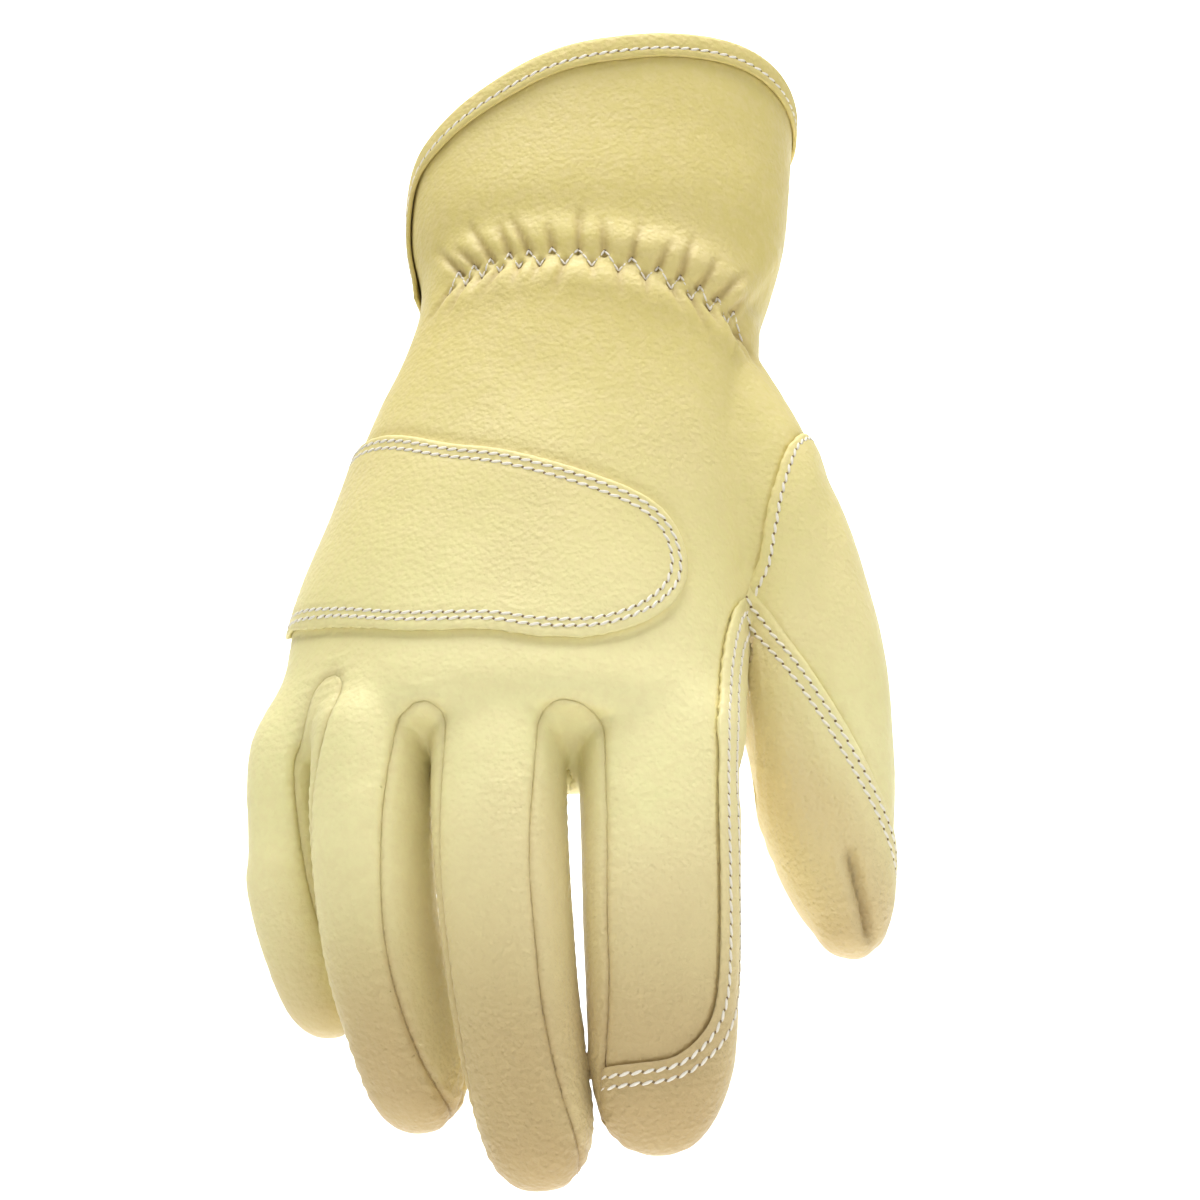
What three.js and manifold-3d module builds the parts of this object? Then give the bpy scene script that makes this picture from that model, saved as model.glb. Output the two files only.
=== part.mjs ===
// A right-hand leather work glove in the form of the hand that fills it.
// It hangs fingers down from its cuff: the back of the hand faces -Y, the thumb is on +X, and +Z runs up the arm.
// The origin is the middle of the mouth of the cuff. All sizes are in millimetres.
import * as THREE from 'three';
import { mergeVertices } from 'three/addons/utils/BufferGeometryUtils.js';
import Module from 'manifold-3d';

const wasm = await Module();
wasm.setup();

// Leather and seams
const LEATHER = 1.3;
const STRAP_LEATHER = 1.1;
const BINDING_LEATHER = 0.9;
const SEAM_GAP = 0.3;

// Cuff and wrist
const CUFF_HEIGHT = 62;
const CUFF_WIDTH = 89;
const CUFF_DEPTH = 60;
const BINDING_WIDTH = 6;
const GATHER_DEPTH = 1.2;

// Hand
const HAND_LENGTH = 118;
const HAND_WIDTH = 97;
const HAND_DEPTH = 46;

// Digits
const INDEX_LENGTH = 79;
const INDEX_WIDTH = 30;
const MIDDLE_LENGTH = 85;
const MIDDLE_WIDTH = 25;
const RING_LENGTH = 76;
const RING_WIDTH = 21.5;
const LITTLE_LENGTH = 58;
const LITTLE_WIDTH = 18;
const FINGER_DEPTH = 23;
const THUMB_LENGTH = 131;
const THUMB_WIDTH = 33;
const THUMB_DEPTH = 32;

// Knuckle strap
const STRAP_HEIGHT = 34;

const HAND_SIDES = 32;
const FINGER_SIDES = 10;
const THUMB_SIDES = 12;
const TIP_RINGS = 3;

// Sections from the top of the cuff to the elastic. down is a share of the cuff's height, the others are shares
// of its width and depth. ripple is how strongly the elastic gathers the leather there.
const CUFF_ROWS = [
  { down: -0.16, width: 1.0, depth: 1.06, right: 0.024, ripple: 0 },
  { down: 0.15, width: 0.985, depth: 1.0, right: 0.013, ripple: 0 },
  { down: 0.45, width: 0.97, depth: 0.95, right: 0.0, ripple: 0 },
  { down: 0.72, width: 0.94, depth: 0.92, right: -0.01, ripple: 0.35 },
  { down: 0.88, width: 0.88, depth: 0.87, right: -0.01, ripple: 0.8 },
];

// Sections from the elastic to the finger crotches, as shares of the hand's length, width and depth.
// turn is in degrees. arch bows the section over the knuckles, and slant lowers its palm side.
const HAND_ROWS = [
  { down: 0.0, width: 0.785, depth: 1.17, right: -0.02, back: 0, turn: 0, arch: 0, slant: 0, ripple: 1 },
  { down: 0.06, width: 0.79, depth: 1.15, right: -0.03, back: 0, turn: 0, arch: 0, slant: 0, ripple: 0.7 },
  { down: 0.13, width: 0.81, depth: 1.1, right: -0.045, back: 0, turn: 0, arch: 0.02, slant: 0, ripple: 0 },
  { down: 0.25, width: 0.86, depth: 1.04, right: -0.08, back: 0, turn: 2, arch: 0.05, slant: 0, ripple: 0 },
  { down: 0.42, width: 0.92, depth: 1.0, right: -0.12, back: 0.01, turn: 4, arch: 0.1, slant: 0, ripple: 0 },
  { down: 0.6, width: 0.975, depth: 0.92, right: -0.17, back: 0.01, turn: 6, arch: 0.15, slant: 0, ripple: 0 },
  { down: 0.76, width: 1.0, depth: 0.83, right: -0.2, back: 0, turn: 8, arch: 0.2, slant: 0, ripple: 0 },
  { down: 0.88, width: 1.0, depth: 0.73, right: -0.21, back: -0.04, turn: 9, arch: 0.22, slant: 0.1, ripple: 0 },
  { down: 0.95, width: 0.96, depth: 0.58, right: -0.215, back: -0.06, turn: 9, arch: 0.22, slant: 0.16, ripple: 0 },
];

// Fingers in order from the thumb's side. root is shares of the hand's width, depth and length. turn is how far
// the finger's back faces outwards, lean and pitch are its direction at the root, and curl its whole bend, in degrees.
const FINGERS = [
  { name: 'index', length: INDEX_LENGTH, width: INDEX_WIDTH, root: [0.115, -0.15, 0.9], turn: -5, lean: 1, pitch: -1, curl: 28 },
  { name: 'middle', length: MIDDLE_LENGTH, width: MIDDLE_WIDTH, root: [-0.205, -0.21, 0.92], turn: 22, lean: 0.5, pitch: 0, curl: 36 },
  { name: 'ring', length: RING_LENGTH, width: RING_WIDTH, root: [-0.463, -0.12, 0.9], turn: 35, lean: -2.5, pitch: 2, curl: 44 },
  { name: 'little', length: LITTLE_LENGTH, width: LITTLE_WIDTH, root: [-0.634, 0.155, 0.86], turn: 42, lean: -4, pitch: 4, curl: 44 },
];

// How a finger narrows from its root to where its tip begins to round.
const FINGER_TAPER = [
  { down: 0.0, width: 1.03, depth: 1.06 },
  { down: 0.25, width: 1.0, depth: 1.02 },
  { down: 0.6, width: 0.95, depth: 0.96 },
  { down: 0.84, width: 0.87, depth: 0.86 },
];

// Sections of the thumb from the wrist to its tip. right and back are shares of the hand's width and depth.
const THUMB_ROWS = [
  { down: 0.0, right: 0.14, back: 0.08, width: 1.25, depth: 1.2 },
  { down: 0.15, right: 0.25, back: 0.1, width: 1.22, depth: 1.2 },
  { down: 0.32, right: 0.36, back: 0.14, width: 1.12, depth: 1.14 },
  { down: 0.5, right: 0.44, back: 0.2, width: 1.0, depth: 1.05 },
  { down: 0.68, right: 0.47, back: 0.27, width: 0.93, depth: 0.94 },
  { down: 0.8, right: 0.485, back: 0.33, width: 0.8, depth: 0.84 },
  { down: 0.9, right: 0.505, back: 0.37, width: 0.6, depth: 0.68 },
  { down: 0.96, right: 0.518, back: 0.39, width: 0.45, depth: 0.52 },
];
const THUMB_TOP = 0.08;

// The cuff's edge. around is in degrees from the middle of the back towards the thumb, down a share of the cuff's
// height. The deep notch on the little-finger side lets the hand in.
const CUFF_EDGE = [
  { around: -180, down: 0.11 },
  { around: -150, down: 0.24 },
  { around: -128, down: 0.44 },
  { around: -113, down: 0.68 },
  { around: -101, down: 0.88 },
  { around: -90, down: 0.72 },
  { around: -76, down: 0.48 },
  { around: -54, down: 0.37 },
  { around: -32, down: 0.27 },
  { around: -8, down: 0.15 },
  { around: 10, down: 0.1 },
  { around: 45, down: 0.07 },
  { around: 80, down: 0.11 },
  { around: 135, down: 0.12 },
  { around: 180, down: 0.11 },
];

// Where the back leather ends on each side of the hand, as a direction around the hand's section.
const BACK_SIDES = [
  { down: -0.7, little: -97, thumb: 97 },
  { down: 0.5, little: -97, thumb: 97 },
  { down: 0.59, little: -98, thumb: 82 },
  { down: 0.65, little: -99, thumb: 70 },
  { down: 0.75, little: -100, thumb: 65 },
  { down: 0.97, little: -100, thumb: 64 },
];

// The seams that set the thumb in. down is a share of the hand's length, the others are shares of its width
// and depth: a seam on the back, one on the palm, and a place between them inside the hollow.
const THUMB_SEAMS = [
  { down: 0.25, backRight: 0.54, backDepth: -0.2, inRight: 0.5, inDepth: 0.1, palmRight: 0.5, palmDepth: 0.5 },
  { down: 0.31, backRight: 0.425, backDepth: -0.21, inRight: 0.34, inDepth: 0.17, palmRight: 0.3, palmDepth: 0.55 },
  { down: 0.43, backRight: 0.369, backDepth: -0.25, inRight: 0.24, inDepth: 0.17, palmRight: 0.22, palmDepth: 0.6 },
  { down: 0.56, backRight: 0.334, backDepth: -0.17, inRight: 0.24, inDepth: 0.17, palmRight: 0.2, palmDepth: 0.6 },
  { down: 0.61, backRight: 0.308, backDepth: -0.11, inRight: 0.26, inDepth: 0.15, palmRight: 0.22, palmDepth: 0.6 },
  { down: 0.68, backRight: 0.309, backDepth: -0.09, inRight: 0.29, inDepth: 0.13, palmRight: 0.26, palmDepth: 0.6 },
  { down: 0.75, backRight: 0.314, backDepth: -0.2, inRight: 0.31, inDepth: 0.1, palmRight: 0.3, palmDepth: 0.6 },
  { down: 1.4, backRight: 0.33, backDepth: -0.2, inRight: 0.33, inDepth: 0.1, palmRight: 0.33, palmDepth: 0.6 },
];

// The diagonal seam across the thumb, as a plane through a place on its back, with shares of the hand's sizes.
const THUMB_DIAGONAL = { right: 0.472, back: -0.074, down: 0.793, normal: [0.81, 0.23, 0.55] };

// How far a side strip's seams stand from the middle of a finger's side, as shares of its half width and depth.
const STRIP_ROWS = [
  { down: 0.0, across: 0.76, deep: 0.8 },
  { down: 0.6, across: 0.76, deep: 0.8 },
  { down: 0.78, across: 0.9, deep: 0.52 },
  { down: 0.9, across: 0.98, deep: 0.22 },
  { down: 0.97, across: 1.0, deep: 0.06 },
];

// The arch where two fingers' strips meet. back and palm are the shares of the fingers at which each level of the
// arch stands on the back and on the palm, and open is how wide it is there.
const CROTCH_ROWS = [
  { back: -0.065, palm: 0.12, open: 0.2 },
  { back: -0.055, palm: 0.13, open: 0.6 },
  { back: -0.03, palm: 0.15, open: 0.9 },
  { back: 0, palm: 0.18, open: 1.0 },
  { back: 0.2, palm: 0.26, open: 1.0 },
];

// The strap's long edges, as shares of the hand's width across and of the strap's height up from its middle.
const STRAP_MIDDLE = 0.613;
const STRAP_UPPER = [[-0.21, 0.69], [-0.47, 1.0], [-0.78, 1.35]];
const STRAP_LOWER = [[-0.78, 0.25], [-0.62, -0.1], [-0.43, -0.4], [-0.16, -0.53]];
const STRAP_REACH = 0.13;

// The share of the index finger where the palm leather, wrapped over the tip, meets the back.
const INDEX_WRAP = 0.78;
const INDEX_SEAM = [0.72, -0.8];
const LITTLE_SEAM = [-1, 0.5];

// Joins a table's rows into smooth curves over one of its columns.
function smooth(rows, along) {
  const names = Object.keys(rows[0]).filter((name) => name !== along && typeof rows[0][name] === 'number');
  const values = rows.flatMap((row) => names.map((name) => row[name]));
  const curve = new THREE.CubicInterpolant(rows.map((row) => row[along]), values, names.length);
  return (at) => {
    const found = curve.evaluate(at);
    return Object.fromEntries(names.map((name, i) => [name, found[i]]));
  };
}

function straight(rows, along) {
  const names = Object.keys(rows[0]).filter((name) => name !== along);
  const values = rows.flatMap((row) => names.map((name) => row[name]));
  const curve = new THREE.LinearInterpolant(rows.map((row) => row[along]), values, names.length);
  return (at) => {
    const found = curve.evaluate(at);
    return Object.fromEntries(names.map((name, i) => [name, found[i]]));
  };
}

// How full the corners of a section are: 2 is an ellipse, and more is squarer.
const SQUARENESS = 2.3;
const FINGER_SQUARENESS = 2.7;
const roundOff = (x, squareness = SQUARENESS) => Math.sign(x) * Math.abs(x) ** (2 / squareness);

// A closed rounded section: pairs of shares of the half width and half depth.
function roundedSection(sides, squareness = SQUARENESS) {
  return Array.from({ length: sides }, (_, i) => {
    const angle = (2 * Math.PI * i) / sides;
    return [roundOff(Math.cos(angle), squareness), roundOff(Math.sin(angle), squareness)];
  });
}

// A closed body through rings of points, whose first and last rings are closed to their middles.
function loft(rings) {
  const sides = rings[0].length;
  const middle = (ring) => ring.reduce((sum, p) => sum.add(p), new THREE.Vector3()).divideScalar(sides);
  const points = rings.flat().concat(middle(rings[0]), middle(rings.at(-1)));
  const faces = [];
  rings.forEach((ring, row) => {
    for (let i = 0; i < sides; i += 1) {
      const a = row * sides + i;
      const b = row * sides + ((i + 1) % sides);
      if (row === 0) faces.push(points.length - 2, b, a);
      if (row === rings.length - 1) faces.push(points.length - 1, a, b);
      else faces.push(a, b, b + sides, a, b + sides, a + sides);
    }
  });
  return new THREE.BufferGeometry().setFromPoints(points).setIndex(faces);
}

// Turns a geometry into a solid that can be joined and cut, with its faces pointing out.
function solid(geometry) {
  const bare = geometry.clone();
  bare.deleteAttribute('normal');
  bare.deleteAttribute('uv');
  const merged = mergeVertices(bare, 1e-4);
  const corners = new Uint32Array(merged.index.array);
  const build = () => new wasm.Manifold(new wasm.Mesh({
    numProp: 3, vertProperties: merged.attributes.position.array, triVerts: corners,
  }));
  const made = build();
  if (made.volume() > 0) return made;
  for (let i = 0; i < corners.length; i += 3) [corners[i], corners[i + 1]] = [corners[i + 1], corners[i]];
  return build();
}

const join = (solids) => solids.reduce((all, one) => all.add(one));

// Sorts a cut piece's triangles into the bodies that they close. Triangles of one body meet along edges.
function bodiesOf(corners, places) {
  const parent = Array.from({ length: corners.length / 3 }, (_, i) => i);
  const top = (i) => {
    let at = i;
    while (parent[at] !== at) at = parent[at];
    parent[i] = at;
    return at;
  };
  const edges = new Map();
  parent.forEach((_, i) => {
    [0, 1, 2].forEach((side) => {
      const ends = [corners[i * 3 + side], corners[i * 3 + ((side + 1) % 3)]];
      const edge = `${Math.min(...ends)} ${Math.max(...ends)}`;
      edges.set(edge, [...(edges.get(edge) ?? []), i]);
    });
  });
  edges.forEach((met) => met.forEach((i) => {
    parent[top(i)] = top(met[0]);
  }));
  const bodies = new Map();
  parent.forEach((_, i) => {
    if (!bodies.has(top(i))) bodies.set(top(i), { corners: [], volume: 0 });
    const body = bodies.get(top(i));
    const [a, b, c] = corners.slice(i * 3, i * 3 + 3);
    body.corners.push(a, b, c);
    body.volume += new THREE.Vector3().crossVectors(places[a], places[b]).dot(places[c]) / 6;
  });
  return [...bodies.values()];
}

// Where seams meet in a crotch, a cut leaves off-cuts and bubbles too small to hold a stitch. They fall away.
function withoutOffcuts(body) {
  const smallest = LEATHER * BINDING_WIDTH ** 2;
  const found = body.getMesh();
  const places = Array.from({ length: found.vertProperties.length / 3 }, (_, i) => (
    new THREE.Vector3().fromArray(found.vertProperties, i * 3)
  ));
  const kept = bodiesOf([...found.triVerts], places).filter(({ volume }) => Math.abs(volume) > smallest);
  return new THREE.BufferGeometry().setFromPoints(places).setIndex(kept.flatMap(({ corners }) => corners));
}

const handZ = (share) => -CUFF_HEIGHT - share * HAND_LENGTH;

// The cuff's and hand's sections in real sizes, in one table by how far down they stand.
const bodyAt = smooth([
  ...CUFF_ROWS.map((row) => ({
    z: CUFF_HEIGHT * row.down, x: row.right * CUFF_WIDTH, y: 0,
    halfWidth: (row.width * CUFF_WIDTH) / 2, halfDepth: (row.depth * CUFF_DEPTH) / 2,
    turn: 0, arch: 0, slant: 0, ripple: row.ripple,
  })),
  ...HAND_ROWS.map((row) => ({
    z: CUFF_HEIGHT + HAND_LENGTH * row.down, x: row.right * HAND_WIDTH, y: row.back * HAND_DEPTH,
    halfWidth: (row.width * HAND_WIDTH) / 2, halfDepth: (row.depth * HAND_DEPTH) / 2,
    turn: row.turn, arch: row.arch * HAND_DEPTH, slant: row.slant * HAND_DEPTH, ripple: row.ripple,
  })),
], 'z');

const bodyLevels = [
  ...[-0.16, 0.35, 0.6, 0.76, 0.88, 0.98].map((share) => share * CUFF_HEIGHT),
  ...[0.06, 0.14, 0.3, 0.52, 0.72, 0.86, 0.932].map((share) => CUFF_HEIGHT + share * HAND_LENGTH),
];

// A place on a section of the cuff or hand: across and deep are shares of its half sizes, deep towards the palm.
function bodyPlace(down, across, deep, grow = 0) {
  const row = bodyAt(down);
  const turn = THREE.MathUtils.degToRad(row.turn);
  const x = across * (row.halfWidth + grow);
  const y = deep * (row.halfDepth + grow) + row.arch * (Math.min(1, across * across) - 0.5);
  return new THREE.Vector3(
    row.x + x * Math.cos(turn) + y * Math.sin(turn),
    row.y - x * Math.sin(turn) + y * Math.cos(turn),
    -down - row.slant * THREE.MathUtils.clamp(deep, -1, 1),
  );
}

// The elastic gathers the leather of the back into ridges, one every second side of the section.
function bodyForm(grow) {
  const section = roundedSection(HAND_SIDES);
  const levels = [...bodyLevels.slice(0, -1), bodyLevels.at(-1) + grow];
  return solid(loft(levels.map((down) => {
    const ridge = bodyAt(down).ripple * GATHER_DEPTH;
    return section.map(([across, deep], i) => {
      const onBack = THREE.MathUtils.clamp(-deep * 2, 0, 1);
      return bodyPlace(down, across, deep, grow + ridge * onBack * (i % 2 ? 0.5 : -0.5));
    });
  })));
}

// The frame of a finger at a share of its length: its middle and its axes across and towards the palm.
function fingerFrame(finger, share) {
  const { degToRad } = THREE.MathUtils;
  const lean = degToRad(finger.lean);
  const turn = degToRad(finger.turn);
  const start = new THREE.Vector3(Math.sin(lean), Math.sin(degToRad(finger.pitch)), -Math.cos(lean)).normalize();
  const palmward = new THREE.Vector3(Math.sin(turn), Math.cos(turn), 0);
  palmward.addScaledVector(start, -palmward.dot(start)).normalize();
  const across = new THREE.Vector3().crossVectors(start, palmward);
  const bent = Math.max(share, 0);
  const curl = degToRad(finger.curl) * bent;
  const turned = curl > 0 ? Math.sin(curl) / curl : 1;
  const raised = curl > 0 ? (1 - Math.cos(curl)) / curl : 0;
  const [right, back, down] = finger.root;
  const middle = new THREE.Vector3(right * HAND_WIDTH, back * HAND_DEPTH, handZ(down))
    .addScaledVector(start, finger.length * (bent * turned + Math.min(share, 0)))
    .addScaledVector(palmward, finger.length * bent * raised);
  const palmHere = palmward.multiplyScalar(Math.cos(curl)).addScaledVector(start, -Math.sin(curl));
  return { middle, across, palmward: palmHere };
}

const taperAt = smooth(FINGER_TAPER, 'down');

function fingerPlace(finger, share, across, deep, grow = 0) {
  const frame = fingerFrame(finger, share);
  const taper = taperAt(Math.max(share, 0));
  return frame.middle
    .addScaledVector(frame.across, across * ((finger.width * taper.width) / 2 + grow))
    .addScaledVector(frame.palmward, deep * ((FINGER_DEPTH * taper.depth) / 2 + grow));
}

// Rings of a digit from its root, with a rounded tip. place gives a point of the digit's section.
function digitForm(section, shares, tipStart, tipLength, place) {
  const ring = (share, scale) => section.map(([a, b]) => place(share, a * scale, b * scale));
  const rings = shares.map(([share, scale]) => ring(share, scale));
  for (let i = 0; i <= TIP_RINGS; i += 1) {
    const angle = (i / (TIP_RINGS + 0.35)) * (Math.PI / 2);
    rings.push(ring(tipStart + tipLength * Math.sin(angle), Math.cos(angle) ** 0.8));
  }
  return solid(loft(rings));
}

function fingerForm(finger, grow) {
  const tipLength = (0.6 * finger.width) / finger.length;
  const straightShares = [-0.04, 0.22, 0.46, 0.66].filter((share) => share < 0.9 - tipLength);
  const shares = [[-0.2, 0.5], [-0.11, 0.84], ...straightShares.map((share) => [share, 1])];
  return digitForm(
    roundedSection(FINGER_SIDES, FINGER_SQUARENESS), shares, 1 - tipLength, tipLength + grow / finger.length,
    (share, a, b) => fingerPlace(finger, share, a, b, grow),
  );
}

const thumbAt = smooth(THUMB_ROWS, 'down');

function thumbForm(grow) {
  const tipLength = 0.07;
  const shares = [0, 0.2, 0.4, 0.58, 0.74, 0.86].map((share) => [share, 1]);
  return digitForm(
    roundedSection(THUMB_SIDES), shares, 1 - tipLength, tipLength + grow / THUMB_LENGTH,
    (share, a, b) => {
      const row = thumbAt(share);
      return new THREE.Vector3(
        row.right * HAND_WIDTH + a * ((row.width * THUMB_WIDTH) / 2 + grow),
        row.back * HAND_DEPTH + b * ((row.depth * THUMB_DEPTH) / 2 + grow),
        handZ(THUMB_TOP) - share * THUMB_LENGTH,
      );
    },
  );
}

// The form of the whole hand, grown or shrunk evenly.
function handForm(grow) {
  return join([bodyForm(grow), ...FINGERS.map((finger) => fingerForm(finger, grow)), thumbForm(grow)]);
}

const edgeAt = smooth(CUFF_EDGE, 'around');

// A line that runs round the cuff a given distance below its edge, on a form grown or shrunk from the outside.
function cuffLine(below, grow, share = 1) {
  const step = 2;
  const run = (THREE.MathUtils.degToRad(2 * step) * (CUFF_WIDTH + CUFF_DEPTH)) / 4;
  const wrap = (angle) => THREE.MathUtils.euclideanModulo(angle + 180, 360) - 180;
  return Array.from({ length: HAND_SIDES }, (_, i) => {
    const around = -180 + (360 * i) / HAND_SIDES;
    const rise = (edgeAt(wrap(around - step)).down - edgeAt(wrap(around + step)).down) * CUFF_HEIGHT;
    const down = edgeAt(around).down * CUFF_HEIGHT + (below * Math.hypot(run, rise)) / run;
    const angle = THREE.MathUtils.degToRad(around);
    const [across, deep] = [Math.sin(angle), -Math.cos(angle)].map((value) => roundOff(value));
    return bodyPlace(down, across * share, deep * share, grow);
  });
}

// All that lies above the cuff's edge.
function aboveEdge() {
  const low = cuffLine(0, 0, 1.5);
  return solid(loft([cuffLine(0, 0, 0.5), low, low.map((place) => place.clone().setZ(CUFF_HEIGHT))]));
}

// The leather of the whole glove, open at the cuff.
const shell = handForm(0).subtract(handForm(-LEATHER)).subtract(aboveEdge());

// All that lies on the thumb's side of the seams that set it in.
const thumbSeamAt = straight(THUMB_SEAMS, 'down');

function thumbSide(ease) {
  const outer = 1.6;
  const reach = HAND_WIDTH;
  return solid(loft(THUMB_SEAMS.map(({ down }) => {
    const row = thumbSeamAt(down);
    const z = handZ(down) + ease;
    const inside = new THREE.Vector3(row.inRight * HAND_WIDTH - ease, row.inDepth * HAND_DEPTH, z);
    const back = new THREE.Vector3(row.backRight * HAND_WIDTH - ease, row.backDepth * HAND_DEPTH, z);
    const palm = new THREE.Vector3(row.palmRight * HAND_WIDTH - ease, row.palmDepth * HAND_DEPTH, z);
    const backOut = inside.clone().lerp(back, outer * 2);
    const palmOut = inside.clone().lerp(palm, outer * 2);
    return [
      inside, backOut, new THREE.Vector3(reach, backOut.y, z), new THREE.Vector3(reach, palmOut.y, z), palmOut,
    ];
  })));
}

// The side of the thumb's diagonal seam that holds its ball and tip, moved by a distance.
function thumbEnd(ease) {
  const size = HAND_LENGTH * 3;
  const normal = new THREE.Vector3(...THUMB_DIAGONAL.normal).normalize();
  const place = new THREE.Vector3(
    THUMB_DIAGONAL.right * HAND_WIDTH, THUMB_DIAGONAL.back * HAND_DEPTH, handZ(THUMB_DIAGONAL.down),
  );
  const block = new THREE.BoxGeometry(size, size, size);
  block.translate(0, 0, -size / 2 + ease);
  block.applyQuaternion(new THREE.Quaternion().setFromUnitVectors(new THREE.Vector3(0, 0, 1), normal));
  block.translate(place.x, place.y, place.z);
  return solid(block);
}

// The wedge of one finger's side that a side strip covers. side is 1 towards the thumb and -1 away from it.
const stripAt = straight(STRIP_ROWS, 'down');

function stripWedge(finger, side, ease) {
  const inner = 0.2;
  const outer = 1.6;
  return solid(loft([0.0, 0.3, 0.6, 0.78, 0.9, 0.97].map((share) => {
    const row = stripAt(share);
    const across = inner + (row.across - inner) * outer;
    const wide = (ease * outer) / (FINGER_DEPTH / 2);
    const shift = ease / (finger.width / 2);
    const place = (a, b) => fingerPlace(finger, share, side * a, b);
    return [
      place(inner - shift, 0), place(across, -row.deep * outer - wide), place(across, row.deep * outer + wide),
    ];
  })));
}

// The arch between two fingers, whose section is carried straight from the back through to the palm.
function crotch(near, far, ease) {
  const { across, deep } = stripAt(0);
  const [back, palm] = ['back', 'palm'].map((face) => {
    const level = face === 'back' ? -deep : deep;
    const pairs = CROTCH_ROWS.map((row) => {
      const nearPlace = fingerPlace(near, row[face], -across, level);
      const farPlace = fingerPlace(far, row[face], across, level);
      const centre = nearPlace.clone().lerp(farPlace, 0.5);
      const between = nearPlace.clone().sub(farPlace).normalize();
      nearPlace.lerp(centre, 1 - row.open).addScaledVector(between, ease);
      farPlace.lerp(centre, 1 - row.open).addScaledVector(between, -ease);
      nearPlace.z += ease;
      farPlace.z += ease;
      return [nearPlace, farPlace];
    });
    return [...pairs.map(([nearPlace]) => nearPlace), ...pairs.map(([, farPlace]) => farPlace).reverse()];
  });
  return solid(loft([-0.6, 1.6].map((share) => back.map((place, i) => place.clone().lerp(palm[i], share)))));
}

function strip(near, far, ease) {
  return join([stripWedge(near, -1, ease), stripWedge(far, 1, ease), crotch(near, far, ease)]);
}

// All that the back leather covers: a sector of the hand and the backs of the fingers.
const backSideAt = straight(BACK_SIDES, 'down');

function backOfHand(ease) {
  const outer = 1.5;
  const far = 2.5;
  const shares = [-0.62, 0.1, 0.5, 0.57, 0.62, 0.7, 0.8, 0.932];
  return solid(loft(shares.map((share) => {
    const down = CUFF_HEIGHT + share * HAND_LENGTH;
    const sides = backSideAt(share);
    const little = THREE.MathUtils.degToRad(sides.little);
    const thumb = THREE.MathUtils.degToRad(sides.thumb);
    const moved = (place, right) => place.add(new THREE.Vector3(right * ease, ease, 0));
    return [
      moved(bodyPlace(down, 0, 0), 0),
      moved(bodyPlace(down, Math.sin(little) * outer, -Math.cos(little) * outer), -1),
      bodyPlace(down, -outer, -far),
      bodyPlace(down, outer, -far),
      moved(bodyPlace(down, Math.sin(thumb) * outer, -Math.cos(thumb) * outer), 1),
    ];
  })));
}

function backOfFinger(finger, end, left, right, ease) {
  const outer = 1.3;
  const aside = 1.12;
  const shares = [0, 0.25, 0.5, 0.75, 1].map((share) => -0.2 + share * (end + 0.2));
  return solid(loft(shares.map((share) => {
    const shift = ease / (finger.width / 2);
    const sink = ease / (FINGER_DEPTH / 2);
    const place = (a, b) => fingerPlace(finger, share, a, b);
    return [
      place(0, sink), place(left[0] * aside - shift, left[1] * aside + sink), place(-aside, -outer),
      place(Math.min(aside, right[0] * outer + shift), -outer),
      place(Math.min(aside, right[0] * outer) + shift, right[1] * outer + sink),
    ];
  })));
}

function backSide(ease) {
  const level = [[-1, 0], [1, 0]];
  return join([backOfHand(ease), ...FINGERS.map((finger) => {
    if (finger.name === 'index') return backOfFinger(finger, INDEX_WRAP + ease / finger.length, level[0], INDEX_SEAM, ease);
    return backOfFinger(finger, 1.1, finger.name === 'little' ? LITTLE_SEAM : level[0], level[1], ease);
  })]);
}

// The strap's outline seen from the back of the hand, as a block that reaches round the little finger's side.
function strapBlock() {
  const half = STRAP_HEIGHT / 2;
  const z = handZ(STRAP_MIDDLE);
  const at = ([right, up]) => new THREE.Vector2(right * HAND_WIDTH, z + up * STRAP_HEIGHT);
  const outline = new THREE.Shape();
  const lower = STRAP_LOWER.map(at);
  outline.moveTo(lower[0].x, lower[0].y);
  outline.splineThru([...lower.slice(1), new THREE.Vector2(0, z - half)]);
  outline.absarc(0, z, half, -Math.PI / 2, Math.PI / 2, false);
  outline.splineThru(STRAP_UPPER.map(at));
  outline.closePath();
  const block = new THREE.ExtrudeGeometry(outline, {
    depth: HAND_DEPTH * (1 + STRAP_REACH), bevelEnabled: false, curveSegments: 8,
  });
  block.rotateX(Math.PI / 2);
  block.translate(0, HAND_DEPTH * STRAP_REACH, 0);
  return solid(block);
}

function knuckleStrap() {
  return handForm(SEAM_GAP + STRAP_LEATHER).subtract(handForm(SEAM_GAP)).intersect(strapBlock());
}

// A strip folded over the cuff's edge: a slot's section carried round the mouth.
function cuffBinding() {
  const near = SEAM_GAP * 3;
  const far = near + BINDING_LEATHER;
  const levels = (top) => [-top, BINDING_WIDTH / 2, BINDING_WIDTH];
  const lines = [
    ...levels(far).reverse().map((below) => cuffLine(below, far)),
    ...levels(far).map((below) => cuffLine(below, -LEATHER - far)),
    ...levels(near).reverse().map((below) => cuffLine(below, -LEATHER - near)),
    ...levels(near).map((below) => cuffLine(below, near)),
  ];
  const faces = [];
  lines.forEach((line, row) => {
    const next = (row + 1) % lines.length;
    line.forEach((_, i) => {
      const j = (i + 1) % HAND_SIDES;
      const corners = [row * HAND_SIDES + i, row * HAND_SIDES + j, next * HAND_SIDES + j, next * HAND_SIDES + i];
      faces.push(corners[0], corners[1], corners[2], corners[0], corners[2], corners[3]);
    });
  });
  return solid(new THREE.BufferGeometry().setFromPoints(lines.flat()).setIndex(faces));
}

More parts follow.
